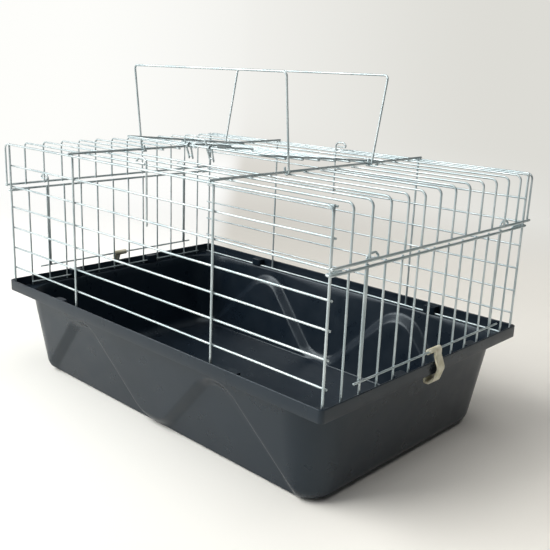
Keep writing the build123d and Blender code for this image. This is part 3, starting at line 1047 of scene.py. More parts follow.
@dataclass
class SidePanel:
    """Front or rear wire mat: long wires inside four uprights, and a rod with an eye."""

    side: Side
    wire_count: int = 7
    waver: float = 0.7 * MM
    eye_rod: EyeRod = field(default_factory=EyeRod)

    def dress(self, drawer: WireDrawer) -> Path:
        """Draw the mat's wires.

        Args:
            drawer: the tool that draws wire.

        Returns:
            The places of its welds.
        """
        node, outward = self.side.node, self.side.value
        rows = drawer.straight(node("side_wires"), Axis.X, Axis.Z, self.wire_count, THIN_WIRE, self.waver)
        sill = drawer.straight(node("bottom_wire"), Axis.X, Axis.Z, 1, THIN_WIRE)
        heights = [row[0].z for row in rows]
        outer_seam = rows[0][0].y + outward * THIN_WIRE / 2
        inner_seam = rows[0][0].y - outward * THIN_WIRE / 2

        welds: Path = []
        for name in ("corner_uprights", "middle_uprights"):
            uprights = drawer.straight(node(name), Axis.Z, Axis.X, 2, UPRIGHT_WIRE)
            for foot, _ in uprights:
                welds += [Vector((foot.x, outer_seam, z)) for z in (sill[0][0].z, *heights)]

        box = NodeBox.of(node("eye_rod"))
        near = box.low if self.side is Side.REAR else box.high
        foot = Vector((near.x + outward * THIN_WIRE / 2, box.middle().y, box.low.z))
        rod = self.eye_rod.path(foot, box.high.z - THIN_WIRE / 2, Vector((outward, 0, 0)))
        drawer.draw(node("eye_rod"), "cage", [rod], THIN_WIRE)
        return welds + [Vector((foot.x, inner_seam, z)) for z in heights if z > foot.z]


@dataclass
class EndPanel:
    """Left or right wire mat: upright bars, hooked top rail, tie bar, bottom wire and two rods."""

    end: End
    bar_count: int = END_BARS
    waver: float = 0.7 * MM
    hook_return: float = 20.0 * MM
    eye_rod: EyeRod = field(default_factory=EyeRod)

    def _top_rail(self) -> Path:
        """Centre line of the top rail, hooked round both corner uprights.

        Returns:
            The points of the rail from hook end to hook end.
        """
        box = NodeBox.of(self.end.node("end_top_rail"))
        hook = (box.high.x - box.low.x - RAIL_WIRE) / 2
        upright = Vector((box.middle().x, box.high.y - RAIL_WIRE / 2 - hook, box.middle().z))
        inside = upright + Vector((-self.end.value * hook, 0, 0))
        tip = inside + Vector((0, -self.hook_return, 0))
        half = [tip, *curl(upright, inside, Vector((0, 0, -self.end.value)), math.pi)]
        return half + [Vector((p.x, -p.y, p.z)) for p in reversed(half)]

    def _rods(self, bars: list[float]) -> list[Path]:
        """Centre lines of the two rods with an eye.

        Args:
            bars: places of the bars along Y.

        Returns:
            One path for each rod.
        """
        box = NodeBox.of(self.end.node("eye_rods"))
        if self.end is End.LEFT:
            x, reach = box.high.x - THIN_WIRE / 2, Vector((-1, 0, 0))
            places = box.places(Axis.Y, 2, THIN_WIRE)
        else:
            x, reach = box.middle().x, Vector((0, 1, 0))
            first = box.low.y + THIN_WIRE / 2
            places = [first, first + bars[-2] - bars[1]]
        top = box.high.z - THIN_WIRE / 2
        return [self.eye_rod.path(Vector((x, y, box.low.z)), top, reach) for y in places]

    def dress(self, drawer: WireDrawer) -> Path:
        """Draw the mat's wires.

        Args:
            drawer: the tool that draws wire.

        Returns:
            The places of its welds.
        """
        node = self.end.node
        bars = drawer.straight(node("end_bars"), Axis.Z, Axis.Y, self.bar_count, THIN_WIRE, self.waver)
        x, places = bars[0][0].x, [bar[0].y for bar in bars]
        rail = self._top_rail()
        drawer.draw(node("end_top_rail"), "cage", [rail], RAIL_WIRE)
        drawer.draw(node("eye_rods"), "cage", self._rods(places), THIN_WIRE)

        seam = self.end.value * THIN_WIRE / 2
        welds = [Vector((x + seam, y, rail[0].z)) for y in places]
        for name, outward in (("end_tie_bar", 1), ("end_bottom_wire", -1)):
            first, last = drawer.straight(node(name), Axis.Y, Axis.X, 1, THIN_WIRE)[0]
            welds += [Vector((x + outward * seam, y, first.z)) for y in places if first.y < y < last.y]
        return welds


@dataclass
class Roof:
    """Roof mat: long wires bent down at both ends, cross rods beside the lid and end rails."""

    wire_count: int = 14
    lid_wire_count: int = 6
    bend: float = 7.0 * MM
    nub: float = 1.5 * MM

    def wire_places(self) -> list[float]:
        """Places of all the roof's long wires along Y, from the front."""
        return NodeBox.of("roof_long_wires").places(Axis.Y, self.wire_count, THIN_WIRE)

    def _bent_wire(self, y: float, profile: Iterable[Span]) -> Path:
        """Centre line of one wire.

        Args:
            y: place of the wire.
            profile: its corners in X and Z.

        Returns:
            The points of the wire.
        """
        corners = [Vector((x, y, z)) for x, z in profile]
        return bent(corners, [self.bend] * (len(corners) - 2))

    def dress(self, drawer: WireDrawer) -> Path:
        """Draw the roof's wires.

        Args:
            drawer: the tool that draws wire.

        Returns:
            The places of its welds.
        """
        box = NodeBox.of("roof_long_wires")
        left, right = box.low.x + THIN_WIRE / 2, box.high.x - THIN_WIRE / 2
        top, foot = box.high.z - THIN_WIRE / 2, box.low.z
        places = self.wire_places()
        skip = (self.wire_count - self.lid_wire_count) // 2
        profile = ((left, foot), (left, top), (right, top), (right, foot))
        full = [self._bent_wire(y, profile) for y in places[:skip] + places[-skip:]]
        drawer.draw("roof_long_wires", "cage", full, THIN_WIRE)

        rods = NodeBox.of("roof_cross_rods").places(Axis.X, 2, RAIL_WIRE)
        cut = []
        for y in places[skip:-skip]:
            for rod_x, far_x, inward in ((rods[0], left, 1), (rods[1], right, -1)):
                inner_x = rod_x + inward * (RAIL_WIRE / 2 + self.nub)
                cut.append(self._bent_wire(y, ((inner_x, top), (far_x, top), (far_x, foot))))
        drawer.draw("roof_cut_wires", "cage", cut, THIN_WIRE)
        drawer.straight("roof_cross_rods", Axis.Y, Axis.X, 2, RAIL_WIRE)
        rails = drawer.straight("roof_end_rails", Axis.Y, Axis.X, 2, RAIL_WIRE)

        welds = [Vector((x, y, top + THIN_WIRE / 2)) for x in rods for y in places]
        for x in (left - THIN_WIRE / 2, right + THIN_WIRE / 2):
            welds += [Vector((x, y, rails[0][0].z)) for y in places]
        return welds


@dataclass
class Lid:
    """Roof lid: a bent frame wire hinged on a roof wire, long wires under it and two short wires."""

    hinge: Vector
    front: Vector
    wire_count: int = 6
    crossed_wires: int = 3
    eye_gap: float = 0.1 * MM
    eye_turn: float = math.radians(262)
    corner_round: float = 6.0 * MM

    def _frame(self) -> Path:
        """Centre line of the frame wire.

        Returns:
            The points from one hinge eye to the other.
        """
        eye = THIN_WIRE + self.eye_gap
        run = self.front - self.hinge
        run.x = 0.0
        rise = math.atan2(run.z, -run.y) - math.asin(eye / run.length)
        up = Vector((0, math.sin(rise), math.cos(rise)))
        box = NodeBox.of("lid_frame")

        def hinge_eye(x: float) -> Path:
            """One eye, from its tip to the start of the frame's side."""
            centre = Vector((x, self.hinge.y, self.hinge.z))
            return curl(centre, centre + up * eye, Vector((-1, 0, 0)), self.eye_turn)[::-1]

        left, right = box.low.x + THIN_WIRE / 2, box.high.x - THIN_WIRE / 2
        start, end = hinge_eye(left), hinge_eye(right)[::-1]
        corners = [Vector((x, self.front.y, self.front.z)) for x in (left, right)]
        middle = bent([start[-1], *corners, end[0]], [self.corner_round] * 2)
        return start + middle[1:-1] + end

    def dress(self, drawer: WireDrawer) -> Path:
        """Draw the lid's wires.

        Args:
            drawer: the tool that draws wire.

        Returns:
            The places of its welds.
        """
        frame = self._frame()
        drawer.draw("lid_frame", "lid", [frame], THIN_WIRE)
        box = NodeBox.of("lid_long_wires")
        across = box.places(Axis.Y, self.wire_count, THIN_WIRE)
        heights = box.places(Axis.Z, self.wire_count, THIN_WIRE)[::-1]
        rows = list(zip(across, heights))
        lines = [[Vector((box.low.x, y, z)), Vector((box.high.x, y, z))] for y, z in rows]
        drawer.draw("lid_long_wires", "lid", lines, THIN_WIRE)

        short = NodeBox.of("lid_short_wires")
        tilt = math.atan2(heights[0] - heights[-1], across[-1] - across[0])
        sink = THIN_WIRE / 2 * math.cos(tilt)
        high, low = short.high.z - sink, short.low.z + sink
        shorts = short.places(Axis.X, 2, THIN_WIRE)
        lines = [[Vector((x, short.low.y, high)), Vector((x, short.high.y, low))] for x in shorts]
        drawer.draw("lid_short_wires", "lid", lines, THIN_WIRE)

        lift = Vector((0, math.sin(tilt), math.cos(tilt))) * (THIN_WIRE / 2)
        sides = (frame[0].x, frame[-1].x)
        welds = [Vector((x, y, z)) + lift for x in sides for y, z in rows]
        return welds + [Vector((x, y, z)) + lift for x in shorts for y, z in rows[: self.crossed_wires]]


@dataclass
class Latch:
    """Latch wire on the lid's front: a finger arch over two loops that stand on a roof wire.

    The number of that roof wire counts from 0 at the front.
    """

    axis: Vector
    roof: Roof
    stand_wire: int = 3
    eye_gap: float = 0.1 * MM
    rest_gap: float = 0.3 * MM
    eye_spacing: float = 37.0 * MM
    eye_turn: float = math.radians(215)
    loop_width: float = 6.6 * MM
    loop_straight: float = 4.0 * MM
    loop_flare: float = 2.2 * MM
    flare_round: float = 11.0 * MM
    arch_height: float = 8.0 * MM
    arch_round: float = 2.8 * MM

    def dress(self, drawer: WireDrawer) -> None:
        """Draw the latch wire.

        Args:
            drawer: the tool that draws wire.
        """
        axis, eye, radius = self.axis, THIN_WIRE + self.eye_gap, self.loop_width / 2
        stand_y = self.roof.wire_places()[self.stand_wire]
        stand_z = NodeBox.of("roof_long_wires").high.z + THIN_WIRE / 2 + self.rest_gap
        reach = math.hypot(stand_y - axis.y, stand_z - axis.z)
        lean = math.atan2(stand_y - axis.y, axis.z - stand_z) - math.asin(eye / reach)
        leg_end = math.sqrt(reach**2 - eye**2) - radius
        down = Vector((0, math.sin(lean), -math.cos(lean)))
        behind = Vector((0, math.cos(lean), math.sin(lean)))

        def at(x: float, below: float) -> Vector:
            """A point of the wire's plane, behind the lid's front wire."""
            return Vector((x, axis.y, axis.z)) + down * below + behind * eye

        def loop(eye_x: float) -> Path:
            """One eye and the loop that hangs from it.

            Args:
                eye_x: place of the eye along the lid's front wire.

            Returns:
                The points from the eye's tip to the loop's far leg.
            """
            centre = Vector((eye_x, axis.y, axis.z))
            wrap = curl(centre, centre + behind * eye, Vector((1, 0, 0)), self.eye_turn)[::-1]
            spin = down.cross(Vector((1, 0, 0)))
            return wrap + curl(at(eye_x - radius, leg_end), at(eye_x, leg_end), spin, math.pi)

        eyes = [axis.x + side * self.eye_spacing / 2 for side in (-1, 1)]
        loops = [loop(eye_x) for eye_x in eyes]
        left, right = (eye_x - self.loop_width for eye_x in eyes)
        corners = [
            at(left, leg_end),
            at(left, leg_end - self.loop_straight),
            at(left - self.loop_flare, 0),
            at(left - self.loop_flare, -self.arch_height),
            at(right - self.loop_flare, -self.arch_height),
            at(right - self.loop_flare, 0),
            at(right, leg_end - self.loop_straight),
            at(right, leg_end),
        ]
        radii = [self.flare_round] * 2 + [self.arch_round] * 2 + [self.flare_round] * 2
        wire = loops[0] + bent(corners, radii)[1:-1] + loops[1][::-1]
        drawer.draw("lid_latch", "lid_latch", [wire], THIN_WIRE)


@dataclass
class Bail:
    """Carrying bail, hooked under both cross rods."""

    side: Side
    pivot: Vector
    gap: float = 0.05 * MM
    corner_round: float = 5.0 * MM
    hook_return: float = 2.5 * MM

    def dress(self, drawer: WireDrawer) -> None:
        """Draw the bail's wire.

        Args:
            drawer: the tool that draws wire.
        """
        name = self.side.node("bail")
        box = NodeBox.of(name)
        top_y = (box.low if self.side is Side.FRONT else box.high).y - self.side.value * BAIL_WIRE / 2
        top = Vector((0, top_y, box.high.z - BAIL_WIRE / 2))
        height = (top - self.pivot).length
        rise = (top - self.pivot) / height
        hook = (RAIL_WIRE + BAIL_WIRE) / 2 + self.gap
        leg_x = box.high.x - BAIL_WIRE / 2

        def at(x: float, along: float) -> Vector:
            """A point of the bail's plane, up its legs from the pivot."""
            return Vector((x, self.pivot.y, self.pivot.z)) + rise * along

        def end_hook(end: int) -> Path:
            """The hook at one end.

            Args:
                end: sign of the end's X.

            Returns:
                The points from the hook's tip to the foot of the leg.
            """
            inner_x = end * (leg_x - 2 * hook)
            tip = at(inner_x, 2 * hook + self.hook_return)
            spin = Vector((end, 0, 0)).cross(rise)
            return [tip, *curl(at(end * (leg_x - hook), hook), at(inner_x, hook), spin, math.pi)]

        left, right = end_hook(-1), end_hook(1)
        bar = [left[-1], at(-leg_x, height), at(leg_x, height), right[-1]]
        rounded = bent(bar, [self.corner_round] * 2)
        drawer.draw(name, name, [left + rounded[1:-1] + right[::-1]], BAIL_WIRE)


@dataclass
class Clip:
    """Cream clip that hangs on a tie bar and hooks under the tray's rim, moulded as one strip."""

    end: End
    rim_height: float
    bore_gap: float = 0.08 * MM
    thickness: float = 2.4 * MM
    tip_share: float = 0.7
    mouth: float = math.radians(262)
    shoulder: float = math.radians(18)
    bare_share: float = 0.72
    catch_share: float = 0.60
    chin_share: float = 0.30
    chin_step: float = 0.2
    neck_drop: float = 5.5 * MM
    bow_reach: float = 5.5 * MM
    bow_drop: float = 7.5 * MM
    hook_depth: float = 9.6 * MM
    hook_inside: float = 4.1 * MM
    lip_gap: float = 0.7 * MM
    chin_rise: float = 5.0 * MM
    neck_rounds: Span = (3.5 * MM, 7.0 * MM)
    hook_rounds: Span = (2.3 * MM, 1.6 * MM)
    edge_round: float = 0.35 * MM
    barrel_steps: int = 12
    bend_steps: int = 6

    def _strip(self, half_width: float) -> list[tuple[Vector, float]]:
        """Centre line of the strip, from the barrel's mouth to the tip of the hook.

        Args:
            half_width: half of the clip's width.

        Returns:
            Each point, outwards along X from the tie bar, with the Y of the strip's bare edge.
        """
        bar = NodeBox.of(End.RIGHT.node("end_tie_bar")).middle()
        rim = NodeBox.of("tray").high - bar
        radius = THIN_WIRE / 2 + self.bore_gap + self.thickness / 2
        lip_z = rim.z - self.rim_height - self.lip_gap
        hook_z = lip_z - self.hook_depth + self.thickness / 2
        lip_x = rim.x - self.hook_inside - self.thickness
        bow = Vector((rim.x + self.bow_reach, 0, rim.z - self.bow_drop))
        heel = Vector((rim.x, 0, hook_z))
        chin = heel.lerp(bow, self.chin_rise / (bow.z - heel.z))
        turns = np.linspace(self.mouth, self.shoulder, self.barrel_steps)
        barrel = [Vector((radius * math.cos(a), 0, radius * math.sin(a))) for a in turns]
        neck = [Vector((radius, 0, 0)), Vector((radius, 0, -self.neck_drop)), bow, chin]
        hook = [chin.lerp(heel, self.chin_step), heel, Vector((lip_x, 0, hook_z)), Vector((lip_x, 0, lip_z))]
        lower = bent(hook, self.hook_rounds, self.bend_steps)
        catch = -half_width * self.catch_share
        strip = [(point, -half_width * self.bare_share) for point in barrel]
        strip += [(point, 0.0) for point in bent(neck, self.neck_rounds, self.bend_steps)]
        strip.append((lower[0], catch * self.chin_share))
        return strip + [(point, catch) for point in lower[1:]]

    def _shape(self, name: str) -> bmesh.types.BMesh:
        """Closed shape of the clip.

        Args:
            name: the CAD node that the clip stands for.

        Returns:
            The shape, in place.
        """
        box = NodeBox.of(name)
        half_width = (box.high.y - box.low.y) / 2
        bar = NodeBox.of(self.end.node("end_tie_bar")).middle()
        place = Matrix.Translation((bar.x, box.middle().y, bar.z))
        if self.end is End.LEFT:
            place = place @ Matrix.Rotation(math.pi, 4, "Z")
        strip = self._strip(half_width)
        last = len(strip) - 1
        rings = []
        for i, (point, bare) in enumerate(strip):
            ahead = (strip[min(i + 1, last)][0] - strip[max(i - 1, 0)][0]).normalized()
            share = self.tip_share if i == last else 1.0
            out = Vector((-ahead.z, 0, ahead.x)) * (self.thickness / 2 * share)
            corners = [(out, bare), (out, half_width), (-out, half_width), (-out, bare)]
            rings.append([place @ (point + side + Vector((0, y, 0))) for side, y in corners])
        shape = bmesh.new()
        skin(shape, rings)
        return shape

    def dress(self, plastic: bpy.types.Material) -> None:
        """Mould the clip with softened edges.

        Args:
            plastic: the clip's finish.
        """
        name = self.end.node("clip")
        piece = stand(smooth_mesh(self._shape(name), name + "_moulded", plastic))
        soften(piece, self.edge_round)
        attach(piece, name)
        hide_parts(name)
        LOG.info("%s: %d faces before its edges are softened", piece.name, len(piece.data.polygons))


@dataclass
class Tray:
    """Moulded tray: tapered tub with pressed arches, ledge, upright rim band and small tabs."""

    rim_height: float = 15.0 * MM
    rim_thickness: float = 2.0 * MM
    rim_corner: float = 5.5 * MM
    rim_inside_corner: float = 9.0 * MM
    rim_round: float = 0.8 * MM
    wall: float = 2.2 * MM
    floor: float = 2.4 * MM
    ledge: float = 10.0 * MM
    foot_inset: float = 29.0 * MM
    foot_corner: float = 32.0 * MM
    foot_round: float = 19.0 * MM
    edge_round: float = 1.5 * MM
    edge_cut: float = 0.3
    arch_depth: float = 8.4 * MM
    arch_step: float = 9.8 * MM
    arch_top_gap: float = 8.0 * MM
    arch_flank: float = math.radians(46.5)
    arch_peak_round: float = 43.0 * MM
    trough_height: float = 11.5 * MM
    trough_flat: float = 38.0 * MM
    trough_round: float = 40.0 * MM
    ridge_round: float = 2.2 * MM
    long_columns: int = 150
    short_columns: int = 30
    corner_columns: int = 12
    foot_rows: int = 10
    lower_rows: int = 6
    upper_rows: int = 9
    row_gap: float = 0.25 * MM
    rim_steps: int = 5
    crease: float = math.radians(38)
    tab_length: float = 18.0 * MM
    tab_nose: float = 2.8 * MM
    tab_round: float = 0.7 * MM
    side_tab_drop: float = 2.2 * MM
    end_tab_drop: float = 0.4 * MM
    tab_gap: float = 0.4 * MM
    tab_half_outline: tuple[Span, ...] = ((0.3, 1.0), (0.6, 0.88), (0.85, 0.62), (1.0, 0.30))
    front_tabs: Span = (-170.0 * MM, 162.0 * MM)
    end_tab_gaps: tuple[int, int] = (2, -3)
    half_length: float = field(init=False)
    half_width: float = field(init=False)
    height: float = field(init=False)
    rim_bottom: float = field(init=False)
    ledge_top: float = field(init=False)
    slope: float = field(init=False)
    draft: float = field(init=False)
    apex: float = field(init=False)
    peak_x: float = field(init=False)
    peak_centre: float = field(init=False)
    trough_edge: float = field(init=False)
    trough_centre: float = field(init=False)
    columns: np.ndarray = field(init=False)

    def __post_init__(self) -> None:
        """Read the tray's outer sizes from the frame and work out what follows from them."""
        self.half_length, self.half_width, self.height = NodeBox.of("tray").high
        self.rim_bottom = self.height - self.rim_height
        self.ledge_top = self.rim_bottom + self.wall
        self.slope = (self.foot_inset - self.ledge) / self.rim_bottom
        self.draft = math.atan(self.slope)
        rounding = self.arch_peak_round * (1 / math.cos(self.arch_flank) - 1)
        self.apex = self.rim_bottom - self.arch_top_gap + rounding
        self.peak_x = self.trough_flat / 2 + (self.apex - self.trough_height) / math.tan(self.arch_flank)
        self.peak_centre = self.rim_bottom - self.arch_top_gap - self.arch_peak_round
        self.trough_edge = self.trough_flat / 2 - self.trough_round * math.tan(self.arch_flank / 2)
        self.trough_centre = self.trough_height + self.trough_round
        self.columns = self._columns()

    def _ridge_height(self, x: np.ndarray, depth: float) -> np.ndarray:
        """Height up the wall of the arches' outline, moved inwards by a distance.

        Args:
            x: places along the wall.
            depth: distance inside the outline.

        Returns:
            The height of the moved outline at each place.
        """
        across = np.abs(np.abs(x) - self.peak_x)
        beside = np.maximum(np.abs(x) - self.trough_edge, 0.0)
        crown_radius = self.arch_peak_round - depth
        dip_radius = self.trough_round + depth
        lean = math.sin(self.arch_flank)
        crown = self.peak_centre + np.sqrt(np.maximum(crown_radius**2 - across**2, 0))
        dip = self.trough_centre - np.sqrt(np.maximum(dip_radius**2 - beside**2, 0))
        flank = self.apex - across * math.tan(self.arch_flank) - depth / math.cos(self.arch_flank)
        return np.select([across < crown_radius * lean, beside < dip_radius * lean], [crown, dip], flank)

    def _press(self, x: np.ndarray, rise: np.ndarray) -> np.ndarray:
        """Depth of the arches' recess.

        Args:
            x: places along the wall.
            rise: heights up the wall.

        Returns:
            How far the wall is pressed in at each point.
        """
        lean = math.tan(self.arch_flank)
        across = np.abs(np.abs(x) - self.peak_x)
        beside = np.maximum(np.abs(x) - self.trough_edge, 0.0)
        over = rise - self.peak_centre
        under = self.trough_centre - rise
        crown = self.arch_peak_round - np.hypot(across, over)
        dip = np.hypot(beside, under) - self.trough_round
        flank = (self.apex - across * lean - rise) * math.cos(self.arch_flank)
        inside = np.select([across < over * lean, beside < under * lean], [crown, dip], flank)
        return self.arch_depth / self.arch_step * (self._eased(inside) - self._eased(inside - self.arch_step))

    def _eased(self, value: np.ndarray) -> np.ndarray:
        """Ramp that starts at zero with a rounded corner.

        Args:
            value: distances past the ramp's start.

        Returns:
            The ramp's height at each distance.
        """
        soft = self.ridge_round
        corner = (value + soft) ** 2 / (4 * soft)
        return np.where(value < -soft, 0.0, np.where(value > soft, value, corner))

    def _columns(self) -> np.ndarray:
        """Split the outline into columns: each straight stretch, then the corner after it.

        Returns:
            Three rows: the share along the straight part in X and in Y, and the angle that a column faces.
        """
        long = np.linspace(-1, 1, self.long_columns, endpoint=False)
        short = np.linspace(-1, 1, self.short_columns, endpoint=False)
        quarter = np.linspace(0, math.pi / 2, self.corner_columns, endpoint=False)
        corner = np.ones_like(quarter)
        parts = []
        for turn, along in ((-math.pi / 2, long), (0.0, short), (math.pi / 2, long), (math.pi, short)):
            out_x, out_y = round(math.cos(turn)), round(math.sin(turn))
            parts.append([out_x - out_y * along, out_y + out_x * along, np.full_like(along, turn)])
            parts.append([(out_x - out_y) * corner, (out_y + out_x) * corner, turn + quarter])
        return np.concatenate(parts, axis=1)

    def _ring(
        self, inset: float | np.ndarray, corner: float | np.ndarray, z: float | np.ndarray
    ) -> np.ndarray:
        """One ring of points round the tray.

        Args:
            inset: distance inside the rim's outer face.
            corner: corner radius.
            z: height.

        Returns:
            The ring's points, one row for each column.
        """
        share_x, share_y, angle = self.columns
        x = share_x * (self.half_length - inset - corner) + np.cos(angle) * corner
        y = share_y * (self.half_width - inset - corner) + np.sin(angle) * corner
        return np.stack([x, y, np.broadcast_to(z, x.shape)], axis=1)

    def _wall_rings(self, thickness: float, high: float, foot: list[Span]) -> list[np.ndarray]:
        """Rings of one face of the tub, from its foot up, with rows along the arches' edges.

        Args:
            thickness: distance inside the outer face.
            high: height of the upper edge.
            foot: offset from the foot line and height of each ring in the rounded foot.

        Returns:
            The rings, pressed in at the arches.
        """
        rings = [self._ring(self.foot_inset - out, self.foot_corner + out, z) for out, z in foot]
        guide = self._ring(self.foot_inset, self.foot_corner, 0.0)[:, 0]
        low, soft, step = foot[-1][1], self.ridge_round, self.arch_step
        inside = [step + soft, step + soft / 2, step, step - soft / 2, step - soft, step / 2]
        inside += [soft, soft / 2, 0.0, -soft / 2, -soft]
        shift = thickness * math.sin(self.draft)
        rows = [self._ridge_height(guide, depth) * math.cos(self.draft) + shift for depth in inside]
        rows = [np.maximum(row, low + self.row_gap * (i + self.lower_rows)) for i, row in enumerate(rows)]
        lower = [low + (rows[0] - low) * i / self.lower_rows for i in range(1, self.lower_rows)]
        upper = [rows[-1] + (high - rows[-1]) * i / self.upper_rows for i in range(1, self.upper_rows)]
        for z in [*lower, *rows, *upper, np.full_like(guide, high)]:
            out = z * self.slope - thickness / math.cos(self.draft)
            rings.append(self._ring(self.foot_inset - out, self.foot_corner + out, z))
        for ring in rings:
            rise = (ring[:, 2] - shift) / math.cos(self.draft)
            plane = self.half_width - self.foot_inset + ring[:, 2] * self.slope
            limit = plane - (thickness + self._press(ring[:, 0], rise)) / math.cos(self.draft)
            ring[:, 1] = np.sign(ring[:, 1]) * np.minimum(np.abs(ring[:, 1]), limit)
        return rings

    def _foot(self, radius: float, thickness: float, bottom: float) -> list[Span]:
        """Profile of the rounded foot of one face.

        Args:
            radius: radius of the rounding.
            thickness: distance inside the outer face.
            bottom: height of the flat that the foot rises from.

        Returns:
            Offset from the foot line and height of each ring.
        """
        corner = bottom * self.slope - thickness / math.cos(self.draft)
        middle = corner - radius / math.tan((math.pi / 2 + self.draft) / 2)
        angles = np.linspace(-math.pi / 2, -self.draft, self.foot_rows)
        return [(middle + radius * math.cos(a), bottom + radius + radius * math.sin(a)) for a in angles]

    def _rim_rings(self) -> list[np.ndarray]:
        """Rings of the ledge and the rim band, from under the ledge to its inner edge.

        Returns:
            The rings.
        """
        edge, band, top, bottom = self.rim_round, self.rim_thickness, self.height, self.rim_bottom
        cut = edge * self.edge_cut
        quarter = np.linspace(0, math.pi / 2, self.rim_steps)
        profile = [(edge, bottom), (cut, bottom + cut), (0.0, bottom + edge)]
        profile += [(0.0, bottom + self.rim_height / 2)]
        profile += [(edge - edge * math.cos(a), top - edge + edge * math.sin(a)) for a in quarter]
        profile += [(band - edge + edge * math.sin(a), top - edge + edge * math.cos(a)) for a in quarter]
        profile += [(band, (top + self.ledge_top) / 2)]
        seat = self.ledge_top + edge
        profile += [(band + edge - edge * math.cos(a), seat - edge * math.sin(a)) for a in quarter]
        inner_corner = self.rim_inside_corner + band
        corners = [self.rim_corner if inset < band / 2 else inner_corner for inset, _ in profile]
        rings = [self._ring(inset, corner - inset, z) for (inset, z), corner in zip(profile, corners)]

        wide = self.foot_inset + self.foot_corner
        inner_top = self.foot_inset - (self.ledge_top * self.slope - self.wall / math.cos(self.draft))
        for back, drop in ((2.0, 0.0), (1.0, 0.0), (self.edge_cut, self.edge_cut)):
            inset = inner_top - back * self.edge_round
            rings.append(self._ring(inset, wide - inset, self.ledge_top - drop * self.edge_round))
        return rings

    def _shell(self) -> bmesh.types.BMesh:
        """Closed shape of the tray without its tabs.

        Returns:
            The shape.
        """
        outer_foot = self._foot(self.foot_round, 0.0, 0.0)
        inner_foot = self._foot(self.foot_round - self.wall, self.wall, self.floor)
        outer = self._wall_rings(0.0, self.rim_bottom, outer_foot)
        inner = self._wall_rings(self.wall, self.ledge_top - self.edge_round, inner_foot)
        shape = bmesh.new()
        skin(shape, outer + self._rim_rings() + inner[::-1])
        return shape

    def _tab_spots(self) -> list[tuple[Matrix, float, float]]:
        """Places of the tabs.

        Returns:
            Place of each tab, how far inside the rim band's middle its wire lies, and its drop below the rim.
        """
        bars = NodeBox.of("left_end_bars").places(Axis.Y, END_BARS, THIN_WIRE)
        pitch = bars[1] - bars[0]
        inside_x = self.half_length - self.rim_thickness / 2
        inside_y = self.half_width - self.rim_thickness / 2
        side_gap = inside_y - NodeBox.of("rear_bottom_wire").middle().y
        end_gap = inside_x - NodeBox.of("right_end_bottom_wire").middle().x
        sides = [(x, -inside_y, math.pi) for x in self.front_tabs]
        sides += [(-x, inside_y, 0.0) for x in self.front_tabs]
        ends = [(-inside_x, gap * pitch, math.pi / 2) for gap in self.end_tab_gaps]
        ends += [(inside_x, -gap * pitch, -math.pi / 2) for gap in self.end_tab_gaps]
        spots = []
        for places, *sizes in ((sides, side_gap, self.side_tab_drop), (ends, end_gap, self.end_tab_drop)):
            for x, y, turn in places:
                spots.append((Matrix.Translation((x, y, 0)) @ Matrix.Rotation(turn, 4, "Z"), *sizes))
        return spots

    def _tabs(self) -> bmesh.types.BMesh:
        """Shape of the tabs inside the rim band that hook over the bottom wires.

        Returns:
            The shape.
        """
        foot = self.ledge_top + self.tab_gap
        roof = NodeBox.of("rear_bottom_wire").high.z + self.tab_gap
        outline = [(-along, share) for along, share in reversed(self.tab_half_outline)]
        outline += self.tab_half_outline
        shape = bmesh.new()
        for place, wire_gap, drop in self._tab_spots():
            top = self.height - drop
            hook = -(wire_gap + THIN_WIRE / 2 + self.tab_gap)
            rings = []
            for along, share in outline:
                nose = hook - self.tab_nose * share
                profile = [(0, top), (0, roof), (hook, roof), (hook, foot), (nose, foot), (nose, top)]
                end = along * self.tab_length / 2
                rings.append([place @ Vector((end, depth, z)) for depth, z in profile])
            skin(shape, rings)
        return shape

    def dress(self, plastic: bpy.types.Material) -> None:
        """Build the tray and its tabs.

        Args:
            plastic: the tray's finish.
        """
        shell = stand(smooth_mesh(self._shell(), "tray_shell", plastic, self.crease))
        tabs = stand(smooth_mesh(self._tabs(), "rim_tabs", plastic, self.crease))
        soften(tabs, self.tab_round)
        for piece in (shell, tabs):
            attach(piece, "cage")
            LOG.info("%s: %d faces", piece.name, len(piece.data.polygons))
        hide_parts("tray")


@dataclass(frozen=True)
class Lamp:
    """One soft lamp with a flat face turned to the cage."""

    name: str
    place: Point
    power: float
    width: float
    height: float
    tone: Tone
    aim: Point = (0.0, 0.0, 0.15)

    def hang(self) -> None:
        """Add the lamp to the scene."""
        light = bpy.data.lights.new(self.name, "AREA")
        light.energy = self.power
        light.shape = "RECTANGLE"
        light.size = self.width
        light.size_y = self.height
        light.color = linear(self.tone)[:3]
        lamp = bpy.data.objects.new(self.name, light)
        lamp.location = self.place
        lamp.rotation_euler = (Vector(self.aim) - lamp.location).to_track_quat("-Z", "Y").to_euler()
        bpy.context.scene.collection.objects.link(lamp)


